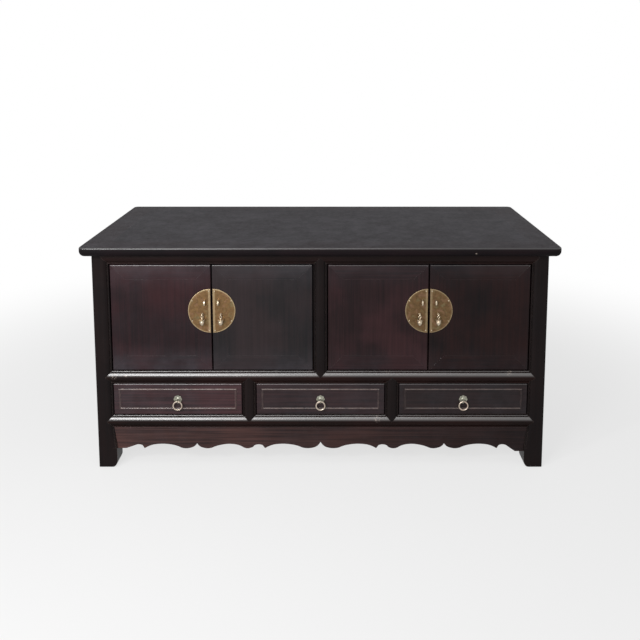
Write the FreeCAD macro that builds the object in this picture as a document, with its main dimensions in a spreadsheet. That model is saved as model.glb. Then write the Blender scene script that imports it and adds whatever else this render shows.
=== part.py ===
import FreeCAD, Part
import math
import os
import Sketcher

# Low console cabinet in lacquered hardwood: a pegged frame of moulded posts and rails, four doors
# that turn on wooden pivots, three drawers on runners, a scalloped apron and aged brass fittings.
# X runs to the right, Y to the back and Z up. The origin is the middle of the footprint, on the floor.
# Lengths are in millimetres.

Vector = FreeCAD.Vector
Rotation = FreeCAD.Rotation

driving_sizes = {
    # Whole cabinet
    "cabinet_width": 1397,
    "cabinet_depth": 648,
    "cabinet_height": 686,
    "leg_height": 126,
    "drawer_opening_height": 100,
    # Table top: a mitred frame round a flush panel
    "top_thickness": 28,
    "top_overhang": 30,
    "top_corner_radius": 18,
    "top_upper_round": 6,
    "top_lower_round": 15,
    "top_frame_width": 78,
    "top_panel_thickness": 12,
    "batten_width": 36,
    # Posts, rails and stiles
    "post_width": 48,
    "rail_height": 38,
    "top_rail_height": 29,
    "stile_width": 40,
    "rail_depth": 40,
    "lap_depth": 14,
    "post_arris": 4,
    # Face moulding: a thin bead at the opening, a groove, then the broad round
    "bead_width": 4,
    "bead_rise": 1.9,
    "groove_width": 1.5,
    "groove_depth": 1,
    "round_run": 12.5,
    "round_rise": 7,
    "round_swell": 1.85,
    # Joinery
    "tenon_setback": 18,
    "tenon_thickness": 12,
    "tenon_length": 16,
    "tenon_shoulder": 6,
    "tongue_setback": 3,
    "tongue_thickness": 5,
    "tongue_length": 6,
    "panel_clearance": 0.2,
    # Legs
    "foot_height": 62,
    "foot_spread": 8,
    "foot_outer_round": 6,
    "foot_inner_round": 22,
    # Aprons
    "apron_drop": 68,
    "apron_recess": 6,
    "apron_thickness": 18,
    # Panels and boards
    "side_panel_recess": 12,
    "side_panel_thickness": 10,
    "floor_thickness": 12,
    "partition_thickness": 16,
    # Doors
    "door_thickness": 22,
    "door_recess": 6,
    "door_gap": 3,
    "door_meeting_gap": 3.5,
    "door_frame_width": 44,
    "door_panel_thickness": 12,
    "front_arris": 3,
    "pivot_setback": 9,
    "pivot_radius": 5,
    "pivot_length": 12,
    "pivot_clearance": 0.06,
    "pivot_seat_gap": 0.2,
    "stop_lip_height": 8,
    "stop_gap": 0.3,
    # Brass on the doors
    "plate_radius": 66.5,
    "plate_thickness": 2,
    "plate_inset": 1.5,
    "plate_bevel": 0.9,
    "plate_height": 182.5,
    "eye_offset": 20,
    "eye_rise": 26,
    "eye_height": 18,
    "eye_reach": 14,
    "eye_thickness": 3.6,
    "eye_hole_radius": 3.2,
    "nail_radius": 1.7,
    "nail_rise": 0.8,
    "nail_inset": 5.5,
    "cotter_radius": 4,
    "cotter_wire": 0.9,
    "cotter_reach": 9.5,
    "cotter_shank": 1.2,
    "washer_radius": 3.2,
    "washer_thickness": 0.8,
    "link_clearance": 0.3,
    # Pendants
    "pendant_offset": 27.5,
    "pendant_drop": 9.5,
    "pendant_eye_radius": 3.6,
    "pendant_wire": 0.8,
    "pendant_neck_radius": 2,
    "pendant_neck_length": 4,
    "pendant_collar_radius": 9,
    "pendant_collar_height": 4,
    "pendant_body_radius": 7.5,
    "pendant_body_length": 14,
    # Drawers
    "drawer_gap": 2,
    "drawer_front_thickness": 20,
    "drawer_bead_inset": 15.5,
    "drawer_bead_width": 5.5,
    "drawer_bead_rise": 2,
    "drawer_bead_round": 1.8,
    "drawer_side_thickness": 12,
    "drawer_side_height": 88,
    "drawer_side_clearance": 1.5,
    "drawer_bottom_thickness": 6,
    "drawer_bottom_lift": 8,
    "drawer_groove_depth": 5,
    "drawer_back_gap": 0.3,
    "runner_thickness": 20,
    "runner_width": 20,
    "guide_height": 20,
    "guide_clearance": 0.5,
    # Drawer pulls
    "rosette_radius": 12.5,
    "rosette_lobe": 1.6,
    "rosette_thickness": 1.6,
    "rosette_dome_radius": 6,
    "rosette_dome_rise": 1.4,
    "pull_drop": 3,
    "pull_cotter_radius": 5,
    "pull_cotter_wire": 1.2,
    "pull_cotter_reach": 8.5,
    "pull_cotter_shank": 1.6,
    "ring_radius": 12.9,
    "ring_wire": 2.1,
    "ring_clearance": 0.4,
    # Overrun of every cut past the face that it starts from
    "overrun": 5,
}

# How much of the face moulding is left where it runs out at the foot
faded_share = 0.08
# Rise of a quarter circle's arc over its chord, as a share of its radius
quarter_share = 1 - math.sqrt(0.5)
# Number of petals round a rosette, and how far a petal's arc swells, as a share of the lobe
petal_count = 8
petal_swell_share = 1.6
# Places of the two outer nails of a plate, as shares of the nails' circle: across and up
outer_nail_shares = (0.8, 0.5)
# Least share of a piece that a cut has to take away to count as a cut
least_cut_share = 1e-9
# How far off its level a flat face may read and still be that face
level_tolerance = 1e-4

# Lower edge of the front apron from the middle to the leg: place along the half span, drop, and
# how far the curve to the next point swells down from its chord, as shares of the drop
front_scallop_shares = (
    (0.000, 0.690, 0.050),
    (0.034, 0.960, 0.035),
    (0.090, 0.960, -0.020),
    (0.140, 0.820, -0.035),
    (0.226, 0.820, -0.020),
    (0.270, 0.995, 0.000),
    (0.282, 0.850, -0.040),
    (0.322, 0.860, 0.020),
    (0.338, 0.970, 0.035),
    (0.374, 0.960, -0.020),
    (0.410, 0.820, -0.030),
    (0.474, 0.820, -0.020),
    (0.528, 0.970, 0.030),
    (0.570, 0.970, 0.040),
    (0.600, 0.765, 0.040),
    (0.632, 0.970, 0.030),
    (0.676, 0.970, -0.020),
    (0.725, 0.820, -0.035),
    (0.811, 0.820, -0.020),
    (0.856, 0.995, 0.000),
    (0.866, 0.850, -0.040),
    (0.902, 0.850, 0.000),
)
# Lower edge of a side apron, told in the same way
side_scallop_shares = (
    (0.000, 0.690, 0.050),
    (0.080, 0.960, 0.035),
    (0.190, 0.960, -0.020),
    (0.300, 0.820, -0.035),
    (0.560, 0.820, -0.020),
    (0.680, 0.995, 0.000),
    (0.705, 0.850, -0.040),
    (0.790, 0.850, 0.000),
)
# Where the scallops end, short of the leg, as a share of the half span
scallop_end_share = 0.945
# Drop of the plain stretch beside the left leg and the right leg, as shares of the apron's drop
left_end_share = 0.985
right_end_share = 1.130

# Outline of a pendant's turned body: radius and height as shares, and the swell of the next curve
pendant_profile_shares = (
    (0.80, 0.00, 0.05),
    (1.00, 0.30, 0.06),
    (0.62, 0.86, 0.10),
)


class Size:
    """A length with the formula that ties a feature to the cells of the sheet."""

    def __init__(self, value, formula):
        self.value = value
        self.formula = formula

    def __add__(self, other):
        other = as_size(other)
        return Size(self.value + other.value, f"({self.formula} + {other.formula})")

    def __sub__(self, other):
        other = as_size(other)
        return Size(self.value - other.value, f"({self.formula} - {other.formula})")

    def __mul__(self, factor):
        factor = as_size(factor)
        return Size(self.value * factor.value, f"({self.formula} * {factor.formula})")

    def __truediv__(self, divisor):
        divisor = as_size(divisor)
        return Size(self.value / divisor.value, f"({self.formula} / {divisor.formula})")

    def __neg__(self):
        return Size(-self.value, f"(0 - {self.formula})")


def as_size(number):
    """A plain number, such as zero or a share, as a Size."""
    if isinstance(number, Size):
        return number
    return Size(float(number), f"({float(number)!r})")


document = FreeCAD.newDocument("low_console_cabinet")
sheet = document.addObject("Spreadsheet::Sheet", "sizes")
size = {}
for row, (alias, length) in enumerate(driving_sizes.items(), start=1):
    sheet.set(f"A{row}", alias)
    sheet.set(f"B{row}", str(length))
    sheet.setAlias(f"B{row}", alias)
    size[alias] = Size(float(length), f"sizes.{alias}")
document.recompute()

# Places that several pieces share
zero = as_size(0)
body_half_width = size["cabinet_width"] / 2 - size["top_overhang"]
body_half_depth = size["cabinet_depth"] / 2 - size["top_overhang"]
body_top = size["cabinet_height"] - size["top_thickness"]
front_half_span = body_half_width - size["post_width"]
side_half_span = body_half_depth - size["post_width"]
low_rail_foot = size["leg_height"]
drawer_opening_foot = low_rail_foot + size["rail_height"]
mid_rail_foot = drawer_opening_foot + size["drawer_opening_height"]
door_opening_foot = mid_rail_foot + size["rail_height"]
top_rail_foot = body_top - size["top_rail_height"]
door_opening_height = top_rail_foot - door_opening_foot
inner_half_depth = body_half_depth - size["rail_depth"]
inner_half_width = body_half_width - size["rail_depth"]
half_stile = size["stile_width"] / 2
door_opening_width = front_half_span - half_stile
drawer_opening_width = (front_half_span * 2 - size["stile_width"] * 2) / 3
drawer_pitch = drawer_opening_width + size["stile_width"]
drawer_stile_place = drawer_pitch / 2
moulding_width = size["bead_width"] + size["groove_width"] + size["round_run"]
tip_length = size["rail_height"] / 2
door_width = (door_opening_width - size["door_gap"] * 2 - size["door_meeting_gap"]) / 2
door_height = door_opening_height - size["door_gap"] * 2
pivot_place = size["door_gap"] + size["pivot_setback"]
socket_depth = size["pivot_length"] + size["pivot_seat_gap"]
groove_floor = size["round_rise"] + size["groove_depth"]
bead_end = size["bead_width"]
round_start = size["bead_width"] + size["groove_width"]


def new_sketch(body, plane, shift=zero):
    """A sketch on one of the body's own origin planes, moved by shift along X, Y or Z."""
    sketch = body.newObject("Sketcher::SketchObject", "Outline")
    support = [item for item in body.Origin.OriginFeatures if item.Role == plane][0]
    sketch.AttachmentSupport = [(support, "")]
    sketch.MapMode = "FlatFace"
    lift = -shift if plane == "XZ_Plane" else shift
    if shift is not zero:
        sketch.AttachmentOffset = FreeCAD.Placement(Vector(0, 0, lift.value), Rotation())
        sketch.setExpression("AttachmentOffset.Base.z", lift.formula)
    return sketch


def bind(sketch, first, formulas):
    """Ties the constraints from number first on to their formulas."""
    for number, formula in formulas:
        sketch.setExpression(f"Constraints[{first + number}]", formula)


def draw_outline(sketch, corners):
    """A closed outline through its corners. A corner is (across, up) or (across, up, swell), where
    swell is how far the arc to the next corner stands to the right of the straight way there."""
    corners = [tuple(as_size(part) for part in corner) for corner in corners]
    edges = []
    ends = []
    radii = []
    first_edge = sketch.GeometryCount
    for number, corner in enumerate(corners):
        following = corners[(number + 1) % len(corners)]
        here = Vector(corner[0].value, corner[1].value, 0)
        there = Vector(following[0].value, following[1].value, 0)
        swell = corner[2] if len(corner) == 3 else zero
        if swell.value == 0:
            edges.append(Part.LineSegment(here, there))
            ends.append((1, 2))
            continue
        way = there - here
        aside = Vector(way.y, -way.x, 0).normalize()
        middle = (here + there) / 2 + aside * swell.value
        forward = swell.value > 0
        edges.append(Part.Arc(here, middle, there) if forward else Part.Arc(there, middle, here))
        ends.append((1, 2) if forward else (2, 1))
        rise = swell if forward else -swell
        run = following[0] - corner[0]
        climb = following[1] - corner[1]
        chord_squared = run * run + climb * climb
        radii.append((number, chord_squared / (rise * 8) + rise / 2))
    sketch.addGeometry(edges)
    constraints = []
    formulas = []
    for number, corner in enumerate(corners):
        edge = first_edge + number
        after = (number + 1) % len(corners)
        start = ends[number][0]
        constraints.append(
            Sketcher.Constraint("Coincident", edge, ends[number][1], first_edge + after, ends[after][0])
        )
        formulas.append((len(constraints), corner[0].formula))
        constraints.append(Sketcher.Constraint("DistanceX", -1, 1, edge, start, corner[0].value))
        formulas.append((len(constraints), corner[1].formula))
        constraints.append(Sketcher.Constraint("DistanceY", -1, 1, edge, start, corner[1].value))
    for number, radius in radii:
        formulas.append((len(constraints), radius.formula))
        constraints.append(Sketcher.Constraint("Radius", first_edge + number, radius.value))
    first = sketch.ConstraintCount
    sketch.addConstraint(constraints)
    bind(sketch, first, formulas)


def draw_rectangle(sketch, left, right, low, high):
    """A rectangle between two places across and two places up."""
    draw_outline(sketch, [(left, low), (right, low), (right, high), (left, high)])


def draw_circle(sketch, across, up, radius):
    """A circle round a point."""
    across = as_size(across)
    up = as_size(up)
    circle = Part.Circle(Vector(across.value, up.value, 0), Vector(0, 0, 1), radius.value)
    edge = sketch.addGeometry(circle)
    first = sketch.ConstraintCount
    sketch.addConstraint(
        [
            Sketcher.Constraint("DistanceX", -1, 1, edge, 3, across.value),
            Sketcher.Constraint("DistanceY", -1, 1, edge, 3, up.value),
            Sketcher.Constraint("Radius", edge, radius.value),
        ]
    )
    bind(sketch, first, [(0, across.formula), (1, up.formula), (2, radius.formula)])


def draw_rounding(sketch, across, up, radius, inward_across, inward_up):
    """What a rounded edge loses: a square past the corner, less the quarter circle that stays."""
    over = size["overrun"]
    far = as_size(inward_across) * radius
    high = as_size(inward_up) * radius
    past_across = across - over * inward_across
    past_up = up - over * inward_up
    swell = radius * (-quarter_share * inward_across * inward_up)
    draw_outline(
        sketch,
        [
            (past_across, past_up),
            (across + far, past_up),
            (across + far, up, swell),
            (across, up + high),
            (past_across, up + high),
        ],
    )


def normal_way(sketch):
    """Whether the sketch's own normal runs along its axis (1) or against it (-1)."""
    return -1 if sketch.AttachmentSupport[0][0].Role == "XZ_Plane" else 1


def pad(body, sketch, length, toward=1):
    """Adds material along the axis across the sketch: up it (1), down it (-1) or half each way (0)."""
    feature = body.newObject("PartDesign::Pad", "Pad")
    feature.Profile = sketch
    feature.Length = length.value
    feature.setExpression("Length", length.formula)
    feature.Midplane = toward == 0
    feature.Reversed = toward * normal_way(sketch) < 0
    return feature


def pocket(body, sketch, depth, toward=1):
    """Takes material away along the axis across the sketch, told as for a pad."""
    feature = body.newObject("PartDesign::Pocket", "Pocket")
    feature.Profile = sketch
    feature.Length = depth.value
    feature.setExpression("Length", depth.formula)
    feature.Midplane = toward == 0
    feature.Reversed = toward * normal_way(sketch) > 0
    return feature


def new_body(label):
    """An empty body with its own label."""
    body = document.addObject("PartDesign::Body", label)
    body.Label = label
    return body


def place(item, across=zero, back=zero, up=zero, turn=Rotation()):
    """Puts an item's own origin at a point, turned about it."""
    item.Placement = FreeCAD.Placement(Vector(across.value, back.value, up.value), turn)
    item.setExpression("Placement.Base.x", across.formula)
    item.setExpression("Placement.Base.y", back.formula)
    item.setExpression("Placement.Base.z", up.formula)
    return item


def primitive(kind, label, **lengths):
    """A Part primitive whose lengths follow the sheet."""
    item = document.addObject(kind, label)
    item.Label = label
    for name, length in lengths.items():
        setattr(item, name, length.value)
        item.setExpression(name, length.formula)
    return item


def fuse(label, items):
    """One solid out of several that run into each other."""
    item = document.addObject("Part::MultiFuse", label)
    item.Label = label
    item.Shapes = items
    return item


def group(label, items):
    """Several separate solids under one name."""
    item = document.addObject("Part::Compound", label)
    item.Label = label
    item.Links = items
    return item


turn_back = Rotation(Vector(0, 0, 1), 180)
turn_left = Rotation(Vector(0, 0, 1), -90)
turn_right = Rotation(Vector(0, 0, 1), 90)
turn_upright = Rotation(Vector(0, 1, 0), -90)
upright_at_back = turn_back.multiply(turn_upright)
axis_along_x = Rotation(Vector(0, 1, 0), 90)
axis_forward = Rotation(Vector(1, 0, 0), 90)


# Frame members

def beaded_front(height, beaded_head):
    """Front of a member's section from its head to its foot: bead, groove, round, flat, and back."""
    rise = size["round_rise"]
    lower = [
        (zero, moulding_width, size["round_swell"]),
        (rise, round_start),
        (groove_floor, round_start),
        (groove_floor, bead_end),
        (rise, bead_end, size["bead_rise"]),
        (rise, zero),
    ]
    if not beaded_head:
        return [(zero, height)] + lower
    upper = [
        (rise, height, size["bead_rise"]),
        (rise, height - bead_end),
        (groove_floor, height - bead_end),
        (groove_floor, height - round_start),
        (rise, height - round_start, size["round_swell"]),
        (zero, height - moulding_width),
    ]
    return upper + lower


def draw_spear_waste(sketch, half_span, height, beaded_head, side):
    """What is cut from one end of the face moulding so that it runs out in a mitred point."""
    over = size["overrun"]
    tip = height / 2 if beaded_head else tip_length
    reach = half_span + tip
    past = reach + over
    corners = [
        (half_span, zero),
        (half_span, -over),
        (past, -over),
        (past, height + over),
    ]
    if beaded_head:
        corners += [(half_span, height + over), (half_span, height), (reach, tip)]
    else:
        corners += [(reach, height + over), (reach, tip)]
    draw_outline(sketch, [(across * side, up) for across, up in corners])


def draw_stile_notch(sketch, place_along, edge, inward):
    """The mitred notch that a stile's point fills in the edge of a rail."""
    over = size["overrun"]
    left = place_along - half_stile
    right = place_along + half_stile
    outside = edge - over * inward
    draw_outline(
        sketch,
        [
            (left, outside),
            (right, outside),
            (right, edge),
            (place_along, edge + half_stile * inward),
            (left, edge),
        ],
    )


def framing_member(label, half_span, height, beaded_head=True, stiles=(), sockets=()):
    """A rail: moulded face with mitred points, core and a tenon at each end. Its own origin is the
    middle of its foot on the crown of the moulding. stiles and sockets list (place along, edge),
    where edge is 1 at the head and 0 at the foot."""
    body = new_body(label)
    tip = height / 2 if beaded_head else tip_length
    face = new_sketch(body, "YZ_Plane")
    draw_outline(
        face, beaded_front(height, beaded_head) + [(size["lap_depth"], zero), (size["lap_depth"], height)]
    )
    pad(body, face, half_span * 2 + tip * 2, toward=0)
    over = size["overrun"]
    spears = new_sketch(body, "XZ_Plane", -over)
    for side in (-1, 1):
        draw_spear_waste(spears, half_span, height, beaded_head, side)
    pocket(body, spears, size["lap_depth"] + over)
    core = new_sketch(body, "YZ_Plane")
    draw_rectangle(core, size["lap_depth"], size["rail_depth"], zero, height)
    pad(body, core, half_span * 2, toward=0)
    tenon_back = size["tenon_setback"] + size["tenon_thickness"]
    shoulder = size["tenon_shoulder"]
    tenon = new_sketch(body, "YZ_Plane")
    draw_rectangle(tenon, size["tenon_setback"], tenon_back, shoulder, height - shoulder)
    pad(body, tenon, half_span * 2 + size["tenon_length"] * 2, toward=0)
    if stiles:
        notches = new_sketch(body, "XZ_Plane", -over)
        for along, edge in stiles:
            draw_stile_notch(notches, along, height * edge, 1 - 2 * edge)
        pocket(body, notches, size["lap_depth"] + over)
    for edge in {edge for along, edge in stiles}:
        mortises = new_sketch(body, "XY_Plane", height * edge)
        for along in [along for along, at in stiles if at == edge]:
            half_tenon = half_stile - shoulder
            draw_rectangle(
                mortises, along - half_tenon, along + half_tenon, size["tenon_setback"], tenon_back
            )
        pocket(body, mortises, size["tenon_length"], toward=1 - 2 * edge)
    for edge in {edge for along, edge in sockets}:
        holes = new_sketch(body, "XY_Plane", height * edge)
        pivot_back = size["door_recess"] + size["pivot_setback"]
        for along in [along for along, at in sockets if at == edge]:
            draw_circle(holes, along, pivot_back, size["pivot_radius"] + size["pivot_clearance"])
        pocket(body, holes, socket_depth, toward=1 - 2 * edge)
    return body


def stile(label, across, back, foot, opening_height, at_back=False):
    """An upright between two rails: the same member stood on end."""
    body = framing_member(label, opening_height / 2, size["stile_width"])
    if at_back:
        return place(body, across - half_stile, back, foot + opening_height / 2, upright_at_back)
    return place(body, across + half_stile, back, foot + opening_height / 2, turn_upright)


# Posts and legs

rail_joints = (
    (low_rail_foot, size["rail_height"], True),
    (mid_rail_foot, size["rail_height"], True),
    (top_rail_foot, size["top_rail_height"], False),
)


def post_section(width, share, right, back):
    """Plan of a post with the moulding on both outer faces, from its outer corner. share is how much
    of the moulding's relief is there, and right and back are the ways to the inside."""
    rise = size["round_rise"] * share
    deep = groove_floor * share
    bead_swell = size["bead_rise"] * share
    round_swell = size["round_swell"] * share
    arris = size["post_arris"]
    arris_swell = arris * quarter_share
    flat_end = width - moulding_width
    face = [
        (flat_end, zero, round_swell),
        (width - round_start, rise),
        (width - round_start, deep),
        (width - bead_end, deep),
        (width - bead_end, rise, bead_swell),
        (width, rise),
    ]
    side = [
        (rise, width, bead_swell),
        (rise, width - bead_end),
        (deep, width - bead_end),
        (deep, width - round_start),
        (rise, width - round_start, round_swell),
        (zero, flat_end),
    ]
    corners = face + [(width, width)] + side + [(zero, arris, arris_swell), (arris, zero)]
    turned = []
    for corner in corners:
        swell = corner[2] * (right * back) if len(corner) == 3 else zero
        turned.append((corner[0] * right, corner[1] * back, swell))
    return turned


def draw_post_notches(sketch, inward):
    """The mitred notches in a post's face that the rails' points fill."""
    over = size["overrun"]
    edge = size["post_width"]
    for foot, height, beaded_head in rail_joints:
        outside = edge + over
        if beaded_head:
            corners = [
                (edge, foot),
                (outside, foot),
                (outside, foot + height),
                (edge, foot + height),
                (edge - tip_length, foot + tip_length),
            ]
        else:
            corners = [
                (edge, foot),
                (outside, foot),
                (outside, foot + height + over),
                (edge - tip_length, foot + height + over),
                (edge - tip_length, foot + tip_length),
            ]
        draw_outline(sketch, [(across * inward, up) for across, up in corners])


def draw_post_mortises(sketch, inward):
    """The mortises for the rails' tenons, in one inner face of a post."""
    shoulder = size["tenon_shoulder"]
    near = size["tenon_setback"] * inward
    far = (size["tenon_setback"] + size["tenon_thickness"]) * inward
    for foot, height, beaded_head in rail_joints:
        draw_rectangle(sketch, near, far, foot + shoulder, foot + height - shoulder)


def post(label, right, back):
    """A corner post with its leg, from its outer corner. The inner sides spread towards the foot,
    where the moulding fades out, and the foot is rounded under."""
    body = new_body(label)
    width = size["post_width"]
    foot_width = width + size["foot_spread"]
    foot_top = size["foot_height"]
    shaft = new_sketch(body, "XY_Plane", low_rail_foot)
    draw_outline(shaft, post_section(width, 1, right, back))
    pad(body, shaft, body_top - low_rail_foot)
    upper = new_sketch(body, "XY_Plane", low_rail_foot)
    draw_outline(upper, post_section(width, 1, right, back))
    lower = new_sketch(body, "XY_Plane", foot_top)
    draw_outline(lower, post_section(foot_width, faded_share, right, back))
    leg = body.newObject("PartDesign::AdditiveLoft", "Leg")
    leg.Profile = upper
    leg.Sections = [lower]
    leg.Ruled = True
    foot = new_sketch(body, "XY_Plane")
    draw_rectangle(foot, zero, foot_width * right, zero, foot_width * back)
    pad(body, foot, foot_top)
    corner = new_sketch(body, "XY_Plane")
    draw_rounding(corner, zero, zero, size["post_arris"], right, back)
    pocket(body, corner, foot_top)
    for plane, inward in (("XZ_Plane", right), ("YZ_Plane", back)):
        under = new_sketch(body, plane)
        draw_rounding(under, zero, zero, size["foot_outer_round"], inward, 1)
        draw_rounding(under, foot_width * inward, zero, size["foot_inner_round"], -inward, 1)
        pocket(body, under, foot_width * 2, toward=0)
    over = size["overrun"]
    lap = size["lap_depth"] + over
    face_notches = new_sketch(body, "XZ_Plane", -over * back)
    draw_post_notches(face_notches, right)
    pocket(body, face_notches, lap, toward=back)
    side_notches = new_sketch(body, "YZ_Plane", -over * right)
    draw_post_notches(side_notches, back)
    pocket(body, side_notches, lap, toward=right)
    side_mortises = new_sketch(body, "YZ_Plane", width * right)
    draw_post_mortises(side_mortises, back)
    pocket(body, side_mortises, size["tenon_length"], toward=-right)
    back_mortises = new_sketch(body, "XZ_Plane", width * back)
    draw_post_mortises(back_mortises, right)
    pocket(body, back_mortises, size["tenon_length"], toward=-back)
    return place(body, body_half_width * -right, body_half_depth * -back)


# Aprons and boards

def apron(label, half_span, scallop_shares, left_share, right_share):
    """A scalloped board under a rail, between two legs. Its own origin is the middle of its head, on
    the crown of the moulding."""
    body = new_body(label)
    drop = size["apron_drop"]
    slope_foot = low_rail_foot - size["foot_height"]
    leg_side = half_span - size["foot_spread"]
    right_half = [(half_span * along, -drop * down, -drop * swell) for along, down, swell in scallop_shares]
    left_half = []
    for number in range(len(scallop_shares) - 1, 0, -1):
        along, down, swell = scallop_shares[number]
        swell_before = scallop_shares[number - 1][2]
        left_half.append((-half_span * along, -drop * down, -drop * swell_before))
    last_swell = -drop * scallop_shares[-1][2]
    corners = [
        (-half_span, zero),
        (-leg_side, -slope_foot),
        (-leg_side, -drop * left_share),
        (-half_span * scallop_end_share, -drop * left_share, last_swell),
    ]
    corners += left_half + right_half
    corners += [
        (half_span * scallop_end_share, -drop * right_share),
        (leg_side, -drop * right_share),
        (leg_side, -slope_foot),
        (half_span, zero),
    ]
    outline = []
    for across, up, *swell in corners:
        outline.append((across, up, -swell[0] if swell else zero))
    front = new_sketch(body, "XZ_Plane", size["apron_recess"])
    draw_outline(front, outline)
    pad(body, front, size["apron_thickness"])
    return body


def board(label, left, right, front, back, low, high):
    """A plain board between two places each way."""
    body = new_body(label)
    plan = new_sketch(body, "XY_Plane", low)
    draw_rectangle(plan, left, right, front, back)
    pad(body, plan, high - low)
    return body


def cabinet_floor():
    """The boards under the door compartments, notched round the four posts."""
    body = new_body("cabinet_floor")
    plan = new_sketch(body, "XY_Plane", door_opening_foot - size["floor_thickness"])
    half_width = inner_half_width
    half_depth = inner_half_depth
    notch_x = front_half_span
    notch_y = side_half_span
    quarter = [(notch_x, -half_depth), (notch_x, -notch_y), (half_width, -notch_y)]
    corners = quarter + [(x, -y) for x, y in reversed(quarter)]
    corners += [(-x, -y) for x, y in quarter] + [(-x, y) for x, y in reversed(quarter)]
    draw_outline(plan, corners)
    pad(body, plan, size["floor_thickness"])
    return body


def table_top():
    """The mitred frame, its panel and the battens under it."""
    half_width = size["cabinet_width"] / 2
    half_depth = size["cabinet_depth"] / 2
    radius = size["top_corner_radius"]
    member = size["top_frame_width"]
    thickness = size["top_thickness"]
    open_width = half_width - member
    open_depth = half_depth - member
    tongue = size["tongue_length"]
    tongue_top = thickness - size["tongue_setback"]
    tongue_foot = tongue_top - size["tongue_thickness"]
    over = size["overrun"]

    def rim(label):
        """The whole rim with its rounded edges, before it is parted at the mitres."""
        body = new_body(label)
        plan = new_sketch(body, "XY_Plane")
        swell = radius * quarter_share
        draw_outline(
            plan,
            [
                (-half_width + radius, -half_depth),
                (half_width - radius, -half_depth, swell),
                (half_width, -half_depth + radius),
                (half_width, half_depth - radius, swell),
                (half_width - radius, half_depth),
                (-half_width + radius, half_depth, swell),
                (-half_width, half_depth - radius),
                (-half_width, -half_depth + radius, swell),
            ],
        )
        slab = pad(body, plan, thickness)
        document.recompute()
        for face_height, alias in ((thickness, "top_upper_round"), (zero, "top_lower_round")):
            rounding = body.newObject("PartDesign::Fillet", "Rounding")
            rounding.Base = (slab, [flat_face(slab, 2, face_height.value)])
            rounding.Radius = size[alias].value
            rounding.setExpression("Radius", size[alias].formula)
            document.recompute()
            slab = rounding
        opening = new_sketch(body, "XY_Plane")
        draw_rectangle(opening, -open_width, open_width, -open_depth, open_depth)
        pocket(body, opening, thickness)
        slot = new_sketch(body, "XY_Plane", tongue_foot)
        slot_width = open_width + tongue
        slot_depth = open_depth + tongue
        draw_rectangle(slot, -slot_width, slot_width, -slot_depth, slot_depth)
        pocket(body, slot, size["tongue_thickness"])
        return body

    def parted(label, quarters):
        """The rim's members that lie inside the given outlines."""
        wedge = new_body(label + "_wedge")
        plan = new_sketch(wedge, "XY_Plane")
        for corners in quarters:
            draw_outline(plan, corners)
        pad(wedge, plan, thickness)
        whole = rim(label + "_rim")
        part = document.addObject("Part::Common", label)
        part.Label = label
        part.Base = whole
        part.Tool = wedge
        return place(part, up=body_top)

    long_quarter = [
        (-half_width - over, -half_depth - over),
        (half_width + over, -half_depth - over),
        (open_width, -open_depth),
        (-open_width, -open_depth),
    ]
    end_quarter = [
        (half_width + over, -half_depth - over),
        (half_width + over, half_depth + over),
        (open_width, open_depth),
        (open_width, -open_depth),
    ]
    long_rails = parted("top_frame_long_rails", [long_quarter, [(x, -y) for x, y in long_quarter]])
    end_rails = parted("top_frame_end_rails", [end_quarter, [(-x, y) for x, y in end_quarter]])

    panel = new_body("top_panel")
    fit = size["panel_clearance"]
    field = new_sketch(panel, "XY_Plane", thickness - size["top_panel_thickness"])
    draw_rectangle(field, -open_width, open_width, -open_depth, open_depth)
    pad(panel, field, size["top_panel_thickness"])
    edge_width = open_width + tongue - fit
    edge_depth = open_depth + tongue - fit
    edge = new_sketch(panel, "XY_Plane", tongue_foot)
    draw_rectangle(edge, -edge_width, edge_width, -edge_depth, edge_depth)
    pad(panel, edge, size["tongue_thickness"])
    place(panel, up=body_top)

    half_batten = size["batten_width"] / 2
    batten_top = body_top + thickness - size["top_panel_thickness"]
    battens = []
    for number in (-1, 0, 1):
        middle = open_width * number / 2
        battens.append(
            board(
                f"top_batten_{number + 2}",
                middle - half_batten,
                middle + half_batten,
                -open_depth,
                open_depth,
                body_top,
                batten_top,
            )
        )
    return [long_rails, end_rails, panel, group("top_battens", battens)]


def flat_face(feature, axis, level):
    """Name of the feature's flat face that lies at a level along an axis and spans the most."""
    found = []
    for number, face in enumerate(feature.Shape.Faces, start=1):
        box = face.BoundBox
        low = (box.XMin, box.YMin, box.ZMin)[axis]
        high = (box.XMax, box.YMax, box.ZMax)[axis]
        if max(abs(low - level), abs(high - level)) < level_tolerance:
            found.append((face.Area, f"Face{number}"))
    return max(found)[1]


# Doors

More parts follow.
